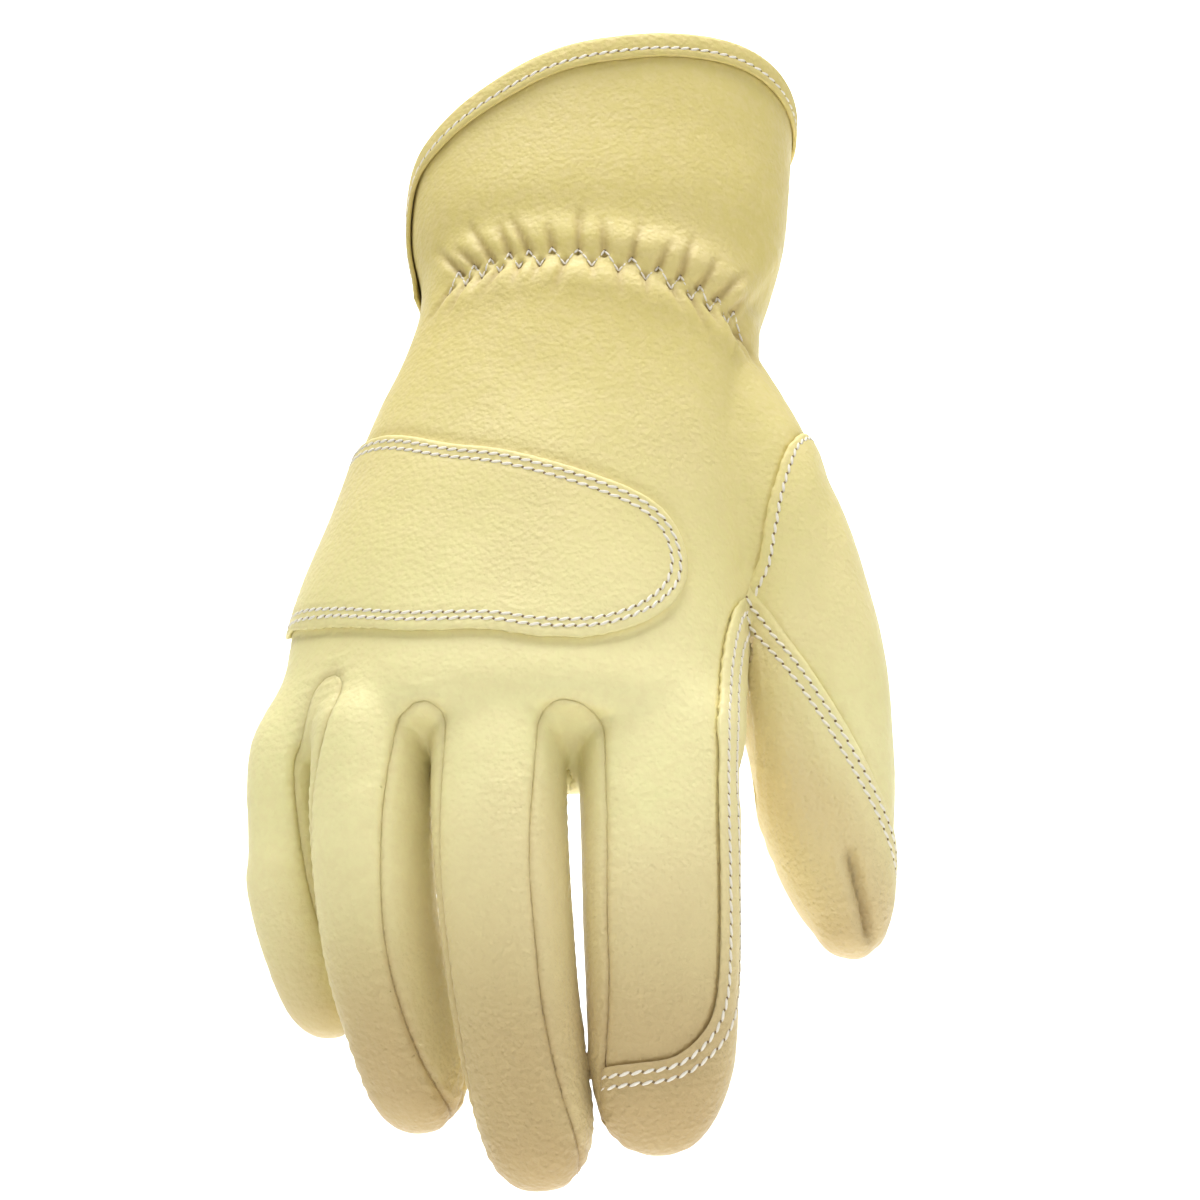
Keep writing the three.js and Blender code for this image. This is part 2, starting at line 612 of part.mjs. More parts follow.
const buff = new THREE.MeshStandardMaterial({ color: 0xecdc98, roughness: 0.55, metalness: 0 });
const warmBuff = new THREE.MeshStandardMaterial({ color: 0xe6d090, roughness: 0.6, metalness: 0 });
const paleBuff = new THREE.MeshStandardMaterial({ color: 0xf0e2a6, roughness: 0.55, metalness: 0 });

const glove = new THREE.Group();

function addPiece(name, body, material) {
  const piece = new THREE.Mesh(withoutOffcuts(body), material);
  piece.name = name;
  glove.add(piece);
}

const half = SEAM_GAP / 2;
const thumb = shell.intersect(thumbSide(-half));
let rest = shell.subtract(thumbSide(half));

addPiece('thumb_outer', thumb.subtract(thumbEnd(half)), buff);
addPiece('thumb_inner', thumb.intersect(thumbEnd(-half)), warmBuff);

const STRIP_NAMES = ['fourchette_middle_index', 'fourchette_ring_middle', 'fourchette_little_ring'];
STRIP_NAMES.forEach((name, i) => {
  const piece = rest.intersect(strip(FINGERS[i], FINGERS[i + 1], -half));
  addPiece(name, piece, warmBuff);
  rest = rest.subtract(strip(FINGERS[i], FINGERS[i + 1], half)).subtract(piece);
});

const back = rest.intersect(backSide(-half));
addPiece('back_panel', back, buff);
addPiece('palm_panel', rest.subtract(backSide(half)).subtract(back), warmBuff);
addPiece('knuckle_strap', knuckleStrap(), buff);
addPiece('cuff_binding', cuffBinding().subtract(shell), paleBuff);

export default glove;
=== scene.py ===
import math

import bmesh
import bpy
import numpy as np
from mathutils import Matrix, Vector, noise
from mathutils.bvhtree import BVHTree


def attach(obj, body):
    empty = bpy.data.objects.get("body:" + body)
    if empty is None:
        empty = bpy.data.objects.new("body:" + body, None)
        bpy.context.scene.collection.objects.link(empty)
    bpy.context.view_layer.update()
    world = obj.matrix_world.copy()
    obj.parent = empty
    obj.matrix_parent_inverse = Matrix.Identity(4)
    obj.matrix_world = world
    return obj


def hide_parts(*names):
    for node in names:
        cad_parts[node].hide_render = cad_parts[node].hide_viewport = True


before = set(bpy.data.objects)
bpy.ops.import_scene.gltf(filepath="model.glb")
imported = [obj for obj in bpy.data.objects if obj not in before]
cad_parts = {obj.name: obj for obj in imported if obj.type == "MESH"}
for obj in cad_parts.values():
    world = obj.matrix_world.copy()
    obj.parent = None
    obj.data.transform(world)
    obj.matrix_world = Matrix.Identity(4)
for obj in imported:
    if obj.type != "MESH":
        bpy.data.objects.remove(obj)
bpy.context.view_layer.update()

# The camera. It stands on the fingers' side, square to the back of the hand, and looks up at the glove.
# The glove hangs fingers down, as it would on a hand that is let down.
CAMERA_PLACE = Vector((0.0, -0.4238, -0.3573))
CAMERA_AIM = Vector((0.0, 0.0, -0.1320))
LENS, SENSOR_WIDTH = 69.1, 36
camera = bpy.data.objects.new("camera", bpy.data.cameras.new("camera"))
camera.data.lens = LENS
camera.data.sensor_width = SENSOR_WIDTH
camera.location = CAMERA_PLACE
camera.rotation_euler = (CAMERA_AIM - CAMERA_PLACE).to_track_quat("-Z", "Y").to_euler()
bpy.context.scene.collection.objects.link(camera)
bpy.context.scene.camera = camera
bpy.context.scene.view_settings.view_transform = "Standard"

# The studio. A pale paper sweep lies under the glove and rises behind it.
# One large soft lamp stands high on the left, a weaker one low on the right and one behind for the paper.
SWEEP_PROFILE = [(-1.6, -0.47), (0.75, -0.47), (0.98, -0.40), (1.10, -0.22), (1.13, 0.05), (1.13, 1.5)]
SWEEP_HALF_WIDTH = 2.2
PAPER_WHITE = (0.93, 0.93, 0.92, 1)
ROOM_LIGHT = 0.30
GLOVE_MIDDLE = (0, 0, -0.12)
LAMPS = [  # name, place, aim, size, watts, spread in degrees
    ("key_lamp", (-0.32, -0.88, 1.25), GLOVE_MIDDLE, 0.95, 16.6, 180),
    ("fill_lamp", (1.0, -0.95, -0.1), GLOVE_MIDDLE, 1.2, 4.2, 180),
    ("paper_lamp", (0.0, 0.25, 1.4), (0, 1.1, 0.1), 1.6, 31, 100),
]
sweep_mesh = bmesh.new()
profile = [sweep_mesh.verts.new((-SWEEP_HALF_WIDTH, y, z)) for y, z in SWEEP_PROFILE]
profile_edges = [sweep_mesh.edges.new(pair) for pair in zip(profile, profile[1:])]
drawn = bmesh.ops.extrude_edge_only(sweep_mesh, edges=profile_edges)["geom"]
far_side = [part for part in drawn if isinstance(part, bmesh.types.BMVert)]
bmesh.ops.translate(sweep_mesh, vec=(2 * SWEEP_HALF_WIDTH, 0, 0), verts=far_side)
bmesh.ops.recalc_face_normals(sweep_mesh, faces=sweep_mesh.faces)
sweep_data = bpy.data.meshes.new("paper_sweep")
sweep_mesh.to_mesh(sweep_data)
sweep_mesh.free()
sweep_data.shade_smooth()
sweep = bpy.data.objects.new("paper_sweep", sweep_data)
bpy.context.scene.collection.objects.link(sweep)
paper = bpy.data.materials.new("pale_paper")
paper.use_nodes = True
paper.node_tree.nodes["Principled BSDF"].inputs["Base Color"].default_value = PAPER_WHITE
paper.node_tree.nodes["Principled BSDF"].inputs["Roughness"].default_value = 0.9
sweep_data.materials.append(paper)

for name, place, aim, size, watts, spread in LAMPS:
    lamp = bpy.data.objects.new(name, bpy.data.lights.new(name, "AREA"))
    lamp.data.size = size
    lamp.data.energy = watts
    lamp.data.spread = math.radians(spread)
    lamp.location = place
    lamp.rotation_euler = (Vector(aim) - Vector(place)).to_track_quat("-Z", "Y").to_euler()
    bpy.context.scene.collection.objects.link(lamp)
room = bpy.data.worlds.new("room")
bpy.context.scene.world = room
room.use_nodes = True
room.node_tree.nodes["Background"].inputs["Color"].default_value = (1, 1, 1, 1)
room.node_tree.nodes["Background"].inputs["Strength"].default_value = ROOM_LIGHT

# The hand's form. The real glove is cut flat and sewn, but its leather takes the form of the hand that fills
# it. So the whole hand is modelled first, in millimetres, and the pieces of leather are cut from its skin.
MILLIMETRE = 0.001
CUFF_HEIGHT, CUFF_WIDTH, CUFF_DEPTH = 62, 89, 60
HAND_LENGTH, HAND_WIDTH, HAND_DEPTH = 118, 97, 46
FINGER_DEPTH = 23
THUMB_LENGTH, THUMB_WIDTH, THUMB_DEPTH, THUMB_TOP = 131, 33, 32, 0.08
HAND_ROUNDNESS, FINGER_ROUNDNESS = 2.3, 2.7
HAND_END, PALM_BEND = 0.932, 9.0
TIP_LENGTH, TIP_FULLNESS, THUMB_TIP = 0.6, 0.8, (0.93, 0.07)
CUFF_ROWS = [  # down, width, depth, right, ripple
    (-0.16, 1.0, 1.06, 0.024, 0), (0.15, 0.985, 1.0, 0.013, 0), (0.45, 0.97, 0.95, 0, 0),
    (0.72, 0.94, 0.92, -0.01, 0.35), (0.88, 0.88, 0.87, -0.01, 0.8),
]
HAND_ROWS = [  # down, width, depth, right, back, turn, arch, slant, ripple
    (0.0, 0.785, 1.17, -0.02, 0, 0, 0, 0, 1), (0.06, 0.79, 1.15, -0.03, 0, 0, 0, 0, 0.7),
    (0.13, 0.81, 1.1, -0.045, 0, 0, 0.02, 0, 0), (0.25, 0.86, 1.04, -0.08, 0, 2, 0.05, 0, 0),
    (0.42, 0.92, 1.0, -0.12, 0.01, 4, 0.1, 0, 0), (0.6, 0.975, 0.92, -0.17, 0.01, 6, 0.15, 0, 0),
    (0.76, 1.0, 0.83, -0.2, 0, 8, 0.2, 0, 0), (0.88, 1.0, 0.73, -0.21, -0.04, 9, 0.22, 0.1, 0),
    (0.95, 0.96, 0.58, -0.215, -0.06, 9, 0.22, 0.16, 0),
]
FINGERS = {  # length, width, root as shares of the hand, turn, lean, pitch, curl
    "index": (79, 30, (0.115, -0.15, 0.9), -5, 1, -1, 28),
    "middle": (85, 25, (-0.205, -0.21, 0.92), 22, 0.5, 0, 36),
    "ring": (76, 21.5, (-0.463, -0.12, 0.9), 35, -2.5, 2, 44),
    "little": (58, 18, (-0.634, 0.155, 0.86), 42, -4, 4, 44),
}
FINGER_TAPER = [(0.0, 1.03, 1.06), (0.25, 1.0, 1.02), (0.6, 0.95, 0.96), (0.84, 0.87, 0.86)]
THUMB_ROWS = [  # down, right, back, width, depth
    (0.0, 0.14, 0.08, 1.25, 1.2), (0.15, 0.25, 0.1, 1.22, 1.2), (0.32, 0.36, 0.14, 1.12, 1.14),
    (0.5, 0.44, 0.2, 1.0, 1.05), (0.68, 0.47, 0.27, 0.93, 0.94), (0.8, 0.485, 0.33, 0.8, 0.84),
    (0.9, 0.505, 0.37, 0.6, 0.68), (0.96, 0.518, 0.39, 0.45, 0.52),
]
# The skin is remeshed at this size, and the form is drawn this much too small because the remesh is relaxed.
VOXEL, SLACK = 0.85, 0.7


def hand_z(share):
    return -CUFF_HEIGHT - share * HAND_LENGTH


def smooth_table(rows):
    """Reads a table as smooth curves over its first column."""
    table = np.array(rows, float)
    at, values = table[:, 0], table[:, 1:]

    def read(where):
        where = np.clip(np.atleast_1d(np.asarray(where, float)), at[0], at[-1])
        high = np.clip(np.searchsorted(at, where, side="right"), 1, len(at) - 1)
        low = high - 1
        before = np.where(low > 0, low - 1, high)
        after = np.where(high < len(at) - 1, high + 1, low)
        span = at[high] - at[low]
        bend_in = 0.5 * span / (at[low] - at[before])
        bend_out = 0.5 * span / (at[after] - at[high])
        p = (where - at[low]) / span
        shares = (
            -bend_in * p**3 + 2 * bend_in * p**2 - bend_in * p,
            (1 + bend_in) * p**3 - (1.5 + 2 * bend_in) * p**2 + (bend_in - 0.5) * p + 1,
            -(1 + bend_out) * p**3 + (1.5 + bend_out) * p**2 + 0.5 * p,
            bend_out * p**3 - bend_out * p**2,
        )
        found = zip(shares, (before, low, high, after))
        return sum(share[:, None] * values[row] for share, row in found).T

    return read


def rounded(sides, roundness):
    angle = np.linspace(0, 2 * np.pi, sides, endpoint=False)
    power = 2 / roundness
    return [np.sign(wave) * np.abs(wave) ** power for wave in (np.cos(angle), np.sin(angle))]


body_at = smooth_table([
    (CUFF_HEIGHT * down, right * CUFF_WIDTH, 0, width * CUFF_WIDTH / 2,
     depth * CUFF_DEPTH / 2, 0, 0, 0, ripple)
    for down, width, depth, right, ripple in CUFF_ROWS
] + [
    (CUFF_HEIGHT + HAND_LENGTH * down, right * HAND_WIDTH, back * HAND_DEPTH, width * HAND_WIDTH / 2,
     depth * HAND_DEPTH / 2, turn, arch * HAND_DEPTH, slant * HAND_DEPTH, ripple)
    for down, width, depth, right, back, turn, arch, slant, ripple in HAND_ROWS
])
taper_at = smooth_table(FINGER_TAPER)
thumb_at = smooth_table(THUMB_ROWS)


def body_place(down, across, deep):
    x, y, half_width, half_depth, turn, arch, slant, _ = body_at(down)
    turn = np.radians(turn)
    right = across * (half_width - SLACK)
    back = deep * (half_depth - SLACK) + arch * (np.minimum(1, across**2) - 0.5)
    return np.stack([
        x + right * np.cos(turn) + back * np.sin(turn),
        y - right * np.sin(turn) + back * np.cos(turn),
        -down - slant * np.clip(deep, -1, 1),
    ], axis=-1)


def finger_axes(finger):
    """A finger's root, its direction there, and its directions towards its palm side and across."""
    _, _, root, turn, lean, pitch, _ = FINGERS[finger]
    lean, turn = math.radians(lean), math.radians(turn)
    start = Vector((math.sin(lean), math.sin(math.radians(pitch)), -math.cos(lean))).normalized()
    palm = Vector((math.sin(turn), math.cos(turn), 0))
    palm = (palm - palm.dot(start) * start).normalized()
    middle = (root[0] * HAND_WIDTH, root[1] * HAND_DEPTH, hand_z(root[2]))
    return np.array(middle), np.array(start), np.array(palm), np.array(start.cross(palm))


def finger_place(finger, share, across, deep):
    length, width, _, _, _, _, curl = FINGERS[finger]
    root, start, palm, side = finger_axes(finger)
    bend = math.radians(curl)
    radius = length / bend
    turned = bend * max(share, 0)
    ahead = radius * math.sin(turned) + length * min(share, 0)
    aside = radius * (1 - math.cos(turned))
    wide, thick = (value[0] for value in taper_at(max(share, 0)))
    palm_here = palm * math.cos(turned) - start * math.sin(turned)
    middle = root + start * ahead + palm * aside
    return (
        middle + np.multiply.outer(across * (width * wide / 2 - SLACK), side)
        + np.multiply.outer(deep * (FINGER_DEPTH * thick / 2 - SLACK), palm_here)
    )


def thumb_place(share, across, deep):
    right, back, width, depth = (value[0] for value in thumb_at(share))
    return np.stack([
        right * HAND_WIDTH + across * (width * THUMB_WIDTH / 2 - SLACK),
        back * HAND_DEPTH + deep * (depth * THUMB_DEPTH / 2 - SLACK),
        np.full(len(across), hand_z(THUMB_TOP) - share * THUMB_LENGTH),
    ], axis=-1)


def skin_over(bm, rings):
    """Bridges rings of places into one closed body."""
    loops = []
    for row, places in enumerate(rings):
        closed = row in (0, len(rings) - 1)
        circle = bmesh.ops.create_circle(bm, cap_ends=closed, segments=len(places), radius=1)["verts"]
        for vert, place in zip(circle, places):
            vert.co = place
        ring = set(circle)
        loops.append({edge for vert in circle for edge in vert.link_edges if set(edge.verts) <= ring})
    for near, far in zip(loops, loops[1:]):
        bmesh.ops.bridge_loops(bm, edges=list(near | far))


def tip_rings(start, length, count=12):
    """Shares along a digit's rounded end, with how wide its section still is at each."""
    angles = [i / (count + 0.35) * math.pi / 2 for i in range(count + 1)]
    return [(start + length * math.sin(angle), math.cos(angle) ** TIP_FULLNESS) for angle in angles]


hand = bmesh.new()
across, deep = rounded(96, HAND_ROUNDNESS)
levels = np.linspace(CUFF_ROWS[0][0] * CUFF_HEIGHT, CUFF_HEIGHT + HAND_END * HAND_LENGTH, 64)
rings = []
for down in levels:
    bent = np.clip((down - levels[-1]) / PALM_BEND + 1, 0, 1)
    thinner = 1 - 0.5 * (1 - np.sqrt(1 - bent**2))
    rings.append(body_place(np.array([down]), across, np.where(deep > 0, deep * thinner, deep)))
skin_over(hand, rings)
across, deep = rounded(48, FINGER_ROUNDNESS)
TIP = {}
for finger, (length, width, *_) in FINGERS.items():
    TIP[finger] = TIP_LENGTH * width / length
    root_rings = [(-0.2, 0.5), (-0.155, 0.68), (-0.11, 0.84), (-0.07, 0.95)]
    straight_rings = [(share, 1) for share in np.linspace(-0.04, 0.98 - TIP[finger], 22)]
    rings = root_rings + straight_rings + tip_rings(1 - TIP[finger], TIP[finger])
    skin_over(hand, [finger_place(finger, share, across * scale, deep * scale) for share, scale in rings])
across, deep = rounded(56, HAND_ROUNDNESS)
rings = [(share, 1) for share in np.linspace(0, 0.91, 34)] + tip_rings(*THUMB_TIP)
skin_over(hand, [thumb_place(share, across * scale, deep * scale) for share, scale in rings])
bmesh.ops.recalc_face_normals(hand, faces=hand.faces)
hand_data = bpy.data.meshes.new("hand_form")
hand.to_mesh(hand_data)
hand.free()
hand_object = bpy.data.objects.new("hand_form", hand_data)
bpy.context.scene.collection.objects.link(hand_object)
remesh = hand_object.modifiers.new("skin", "REMESH")
remesh.mode = "VOXEL"
remesh.voxel_size = VOXEL
view_layer = bpy.context.evaluated_depsgraph_get()
skin_data = bpy.data.meshes.new_from_object(hand_object.evaluated_get(view_layer))
form = bmesh.new()
form.from_mesh(skin_data)
bpy.data.objects.remove(hand_object)
bpy.data.meshes.remove(hand_data)
bpy.data.meshes.remove(skin_data)


def places_of(bm):
    return np.array([vert.co for vert in bm.verts])


def relax(bm, verts, times):
    for _ in range(times):
        bmesh.ops.smooth_vert(bm, verts=verts, factor=0.5, use_axis_x=True, use_axis_y=True, use_axis_z=True)


relax(form, form.verts[:], 3)
form.normal_update()
for vert in form.verts:
    vert.co += vert.normal * SLACK


# The seams' places. Each seam is known as a field over the hand's skin: how many millimetres a place lies
# from that seam, and on which side of it. Leather is cut, turned in, lapped, stitched and creased by these.
def body_chart(points):
    x, y, half_width, half_depth, turn, arch, _, _ = body_at(-points[:, 2])
    turn = np.radians(turn)
    right, back = points[:, 0] - x, points[:, 1] - y
    a = (right * np.cos(turn) - back * np.sin(turn)) / half_width
    b = (right * np.sin(turn) + back * np.cos(turn) - arch * (np.minimum(1, a**2) - 0.5)) / half_depth
    return a, b, half_width, half_depth


def finger_chart(finger, points):
    """Where places lie on a finger: share of its length, shares across and deep, and its half sizes there."""
    length, width, _, _, _, _, curl = FINGERS[finger]
    root, start, palm, side = finger_axes(finger)
    bend = math.radians(curl)
    radius = length / bend
    ahead, aside, along_side = ((points - root) @ axis for axis in (start, palm, side))
    share = np.where(ahead > 0, np.arctan2(ahead, radius - aside) / bend, ahead / length)
    thick = np.where(ahead > 0, radius - np.hypot(ahead, radius - aside), aside)
    wide_taper, thick_taper = taper_at(np.clip(share, 0, 0.95))
    half_width, half_depth = wide_taper * width / 2, thick_taper * FINGER_DEPTH / 2
    return share, along_side / half_width, thick / half_depth, half_width, half_depth


def thumb_chart(points):
    share = (hand_z(THUMB_TOP) - points[:, 2]) / THUMB_LENGTH
    right, back, width, depth = thumb_at(share)
    half_width, half_depth = width * THUMB_WIDTH / 2, depth * THUMB_DEPTH / 2
    a = (points[:, 0] - right * HAND_WIDTH) / half_width
    b = (points[:, 1] - back * HAND_DEPTH) / half_depth
    return share, a, b, half_width, half_depth


def beside(flat, line):
    """Signed distances from a line drawn on a flat chart: positive on its right-hand side as it is drawn."""
    line = np.array(line, float)
    nearest, signed = np.full(len(flat), np.inf), np.zeros(len(flat))
    for start, end in zip(line, line[1:]):
        run = end - start
        share = np.clip((flat - start) @ run / (run @ run), 0, 1)
        away = flat - start - share[:, None] * run
        distance = np.hypot(away[:, 0], away[:, 1])
        turn = run[1] * (flat[:, 0] - start[0]) - run[0] * (flat[:, 1] - start[1])
        closer = distance < nearest - 1e-9
        nearest = np.where(closer, distance, nearest)
        signed = np.where(closer, np.where(turn >= 0, distance, -distance), signed)
    return signed


def drawn_smooth(line, count=90):
    """A smooth line through the places of a rough one."""
    line = np.array(line, float)
    steps = np.hypot.reduce(np.diff(line, axis=0), axis=1)
    along = np.concatenate([[0], np.cumsum(steps)])
    curve = smooth_table(np.column_stack([along, line]))
    return curve(np.linspace(0, along[-1], count)).T


def soft_least(values, reach):
    """The least of several fields, rounded where two of them meet."""
    least = values[0]
    for value in values[1:]:
        mix = np.clip(0.5 + 0.5 * (value - least) / reach, 0, 1)
        least = value + (least - value) * mix - reach * mix * (1 - mix)
    return least


def ramp(values, start, end):
    share = np.clip((values - start) / (end - start), 0, 1)
    return share * share * (3 - 2 * share)


# Where a side strip's seam runs on each finger's side: share of its length, then of its half width and depth.
STRIP_END = [
    (0.48, 0.78, 0.79), (0.6, 0.77, 0.79), (0.75, 0.82, 0.7), (0.86, 0.88, 0.55), (0.94, 0.93, 0.35),
    (1.0, 0.96, 0.1), (1.1, 0.96, -0.3),
]
STRIP_SEAMS = {
    ("index", -1): [(-0.2, 0.74, 0.82), (0.0, 0.75, 0.8), (0.3, 0.76, 0.8), *STRIP_END],
    ("middle", 1): [
        (-0.2, 1.2, 0.66), (0.0, 1.08, 0.7), (0.1, 0.98, 0.73), (0.2, 0.87, 0.77), (0.3, 0.8, 0.79),
        *STRIP_END,
    ],
    ("middle", -1): [(-0.2, 0.45, 0.92), (0.0, 0.53, 0.9), (0.16, 0.66, 0.85), (0.3, 0.76, 0.8), *STRIP_END],
    ("ring", 1): [
        (-0.2, 1.4, 0.6), (0.0, 1.22, 0.6), (0.1, 1.06, 0.63), (0.2, 0.95, 0.69), (0.34, 0.86, 0.75),
        *STRIP_END,
    ],
    ("ring", -1): [(-0.2, 0.05, 1.0), (-0.05, 0.2, 1.0), (0.1, 0.5, 0.92), (0.25, 0.72, 0.82), *STRIP_END],
    ("little", 1): [
        (-0.2, 1.15, 0.62), (0.0, 1.02, 0.63), (0.12, 0.94, 0.65), (0.3, 0.95, 0.55), (0.6, 0.98, 0.42),
        (0.9, 1.0, 0.15), (1.1, 1.0, -0.3),
    ],
}
# The heights of each side strip's top on the back and on the palm.
CROTCHES = {
    ("index", "middle"): (-164, -165), ("middle", "ring"): (-162, -163), ("ring", "little"): (-153, -156),
}
# The seams that set the thumb in: down, the seam on the back, a place inside the hand, the seam on the palm.
THUMB_SEAMS = [
    (0.25, 0.54, -0.2, 0.5, 0.1, 0.5, 0.5), (0.31, 0.425, -0.21, 0.34, 0.17, 0.3, 0.55),
    (0.43, 0.369, -0.25, 0.24, 0.17, 0.22, 0.6), (0.56, 0.334, -0.17, 0.24, 0.17, 0.2, 0.6),
    (0.61, 0.308, -0.11, 0.26, 0.15, 0.22, 0.6), (0.68, 0.309, -0.09, 0.29, 0.13, 0.26, 0.6),
    (0.75, 0.314, -0.2, 0.31, 0.1, 0.3, 0.6), (1.4, 0.33, -0.2, 0.33, 0.1, 0.33, 0.6),
]
DIAGONAL_PLACE = np.array([0.472 * HAND_WIDTH, -0.074 * HAND_DEPTH, hand_z(0.793)])
DIAGONAL_NORMAL = np.array(Vector((0.81, 0.23, 0.55)).normalized())
# The palm leather's lapped edge on the back of the index finger, seen from the back of the hand.
INDEX_EDGE_START = [
    (44, -108), (37, -124), (33, -130.5), (29.6, -135), (27.2, -139.5), (25.4, -145), (24.1, -152.5),
    (23.4, -161), (22.9, -172),
]
INDEX_EDGE_END = [
    (0.19, 0.73, -0.8), (0.35, 0.74, -0.8), (0.56, 0.745, -0.8), (0.64, 0.72, -0.8), (0.7, 0.62, -0.85),
    (0.745, 0.4, -0.93), (0.775, 0.1, -0.97), (0.785, -0.3, -0.97), (0.79, -0.7, -0.92), (0.79, -1.3, -0.9),
]
# The knuckle strap's outline on the back of the hand.
STRAP_EDGE = [
    (-75, -97), (-58, -97.3), (-45.6, -100.3), (-30.8, -107.4), (-20.4, -110.4), (-8.1, -114.4), (0, -117.1),
    (8.1, -120.1), (12.6, -122.9), (15.6, -127), (17.0, -131.5), (17.2, -135.5), (15.9, -140),
    (12.6, -144.8), (7.9, -148.6), (3.9, -150.8), (-1, -152.3), (-5.9, -152.9), (-13.6, -152.6),
    (-21.5, -151), (-29.4, -150.4), (-39.5, -148.9), (-50, -145.3), (-75, -134),
]
# The cuff's upper edge: degrees round the wrist, then how far down it lies as a share of the cuff's height.
CUFF_EDGE = [
    (-180, 0.11), (-150, 0.24), (-128, 0.44), (-113, 0.68), (-101, 0.88), (-90, 0.72), (-76, 0.48),
    (-54, 0.37), (-32, 0.27), (-8, 0.15), (10, 0.1), (45, 0.07), (80, 0.11), (135, 0.12), (180, 0.11),
]
ELASTIC_LINE = [
    (-60, -66), (-36, -64.5), (-26.8, -63), (-19.6, -62.2), (-10.4, -62.2), (0.6, -63.3), (12.7, -66.4),
    (21.3, -69), (32, -73.2), (60, -80),
]
# The side seams: degrees round the hand, and the millimetres of skin that a degree stands for.
LITTLE_SEAM, THUMB_SEAM, MILLIMETRES_PER_DEGREE = 98, 97, 0.67
FAR_OFF = 30

points = places_of(form)
flat = points[:, [0, 2]]
charts = {finger: finger_chart(finger, points) for finger in FINGERS}
body_a, body_b, body_half_width, _ = body_chart(points)
round_a = np.sign(body_a) * np.abs(body_a) ** (HAND_ROUNDNESS / 2)
round_b = np.sign(body_b) * np.abs(body_b) ** (HAND_ROUNDNESS / 2)
around = np.degrees(np.arctan2(round_a, -round_b))

# The digit or hand that each place lies on is the one whose own skin is nearest.
misses = []
for finger, (share, a, b, half_width, _) in charts.items():
    tip = np.clip((share - 1 + TIP[finger]) / TIP[finger], 0, 1)
    ring = (np.abs(a) ** FINGER_ROUNDNESS + np.abs(b) ** FINGER_ROUNDNESS) ** (1 / FINGER_ROUNDNESS)
    miss = np.abs(ring - np.sqrt(1 - tip**2) ** TIP_FULLNESS) * half_width
    misses.append(np.where((share > -0.13) & (share < 1.06), miss, FAR_OFF))
thumb_share, thumb_a, thumb_b, thumb_half, _ = thumb_chart(points)
thumb_ring = (np.abs(thumb_a) ** HAND_ROUNDNESS + np.abs(thumb_b) ** HAND_ROUNDNESS) ** (1 / HAND_ROUNDNESS)
thumb_tip = np.sqrt(1 - np.clip((thumb_share - THUMB_TIP[0]) / THUMB_TIP[1], 0, 1) ** 2) ** TIP_FULLNESS
misses.append(np.abs(thumb_ring - thumb_tip) * thumb_half)
body_ring = (np.abs(body_a) ** HAND_ROUNDNESS + np.abs(body_b) ** HAND_ROUNDNESS) ** (1 / HAND_ROUNDNESS)
misses.append(np.where(points[:, 2] > hand_z(0.945), np.abs(body_ring - 1) * body_half_width, FAR_OFF))
limb = np.argmin(np.array(misses), axis=0)
INDEX, MIDDLE, RING, LITTLE, THUMB, BODY = range(6)


def wedge(finger, side):
    """Millimetres inside the part of a finger's side that lies between its two strip seams."""
    share, a, b, half_width, half_depth = charts[finger]
    across, deep = smooth_table(STRIP_SEAMS[finger, side])(share)
    across, deep = across * half_width, deep * half_depth
    inner = 0.2 * half_width
    run, rise = across - inner, deep
    out, thick = side * a * half_width - inner, np.abs(b) * half_depth
    return (out * rise - thick * run) / np.hypot(run, rise)


# On each finger a strip ends at that finger's own seam, and at the crotch at its top as well.
ACROSS_CROTCH, OWN_FROM, OWN_TO, STRIP_TOP_ROUNDNESS = 40, -0.1, 0.12, 7
gaps = []
on_finger = {finger: limb == number for number, finger in enumerate(FINGERS)}
for (near, far), (back_top, palm_top) in CROTCHES.items():
    depth = np.clip((charts[near][2] + charts[far][2] + 1.6) / 3.2, 0, 1)
    below = back_top + (palm_top - back_top) * depth - points[:, 2]
    far_side = wedge(far, 1) + ACROSS_CROTCH * ramp(charts[near][0], OWN_FROM, OWN_TO) * on_finger[near]
    near_side = wedge(near, -1) + ACROSS_CROTCH * ramp(charts[far][0], OWN_FROM, OWN_TO) * on_finger[far]
    gaps.append(soft_least([near_side, far_side, below], STRIP_TOP_ROUNDNESS))
gaps = np.array(gaps)
gap_number = np.argmax(gaps, axis=0)
gap = np.max(gaps, axis=0)

rows = [None, *smooth_table(THUMB_SEAMS)((-points[:, 2] - CUFF_HEIGHT) / HAND_LENGTH)]
inside = np.stack([rows[3] * HAND_WIDTH, rows[4] * HAND_DEPTH])
thumb_fields = [-(points[:, 2] - hand_z(THUMB_SEAMS[0][0]))]
for column, sign in ((1, 1), (5, -1)):
    run = np.stack([rows[column] * HAND_WIDTH, rows[column + 1] * HAND_DEPTH]) - inside
    away = points[:, :2].T - inside
    thumb_fields.append(sign * (run[0] * away[1] - run[1] * away[0]) / np.hypot(*run))
thumb = soft_least(thumb_fields, 3)
diagonal = (points - DIAGONAL_PLACE) @ -DIAGONAL_NORMAL

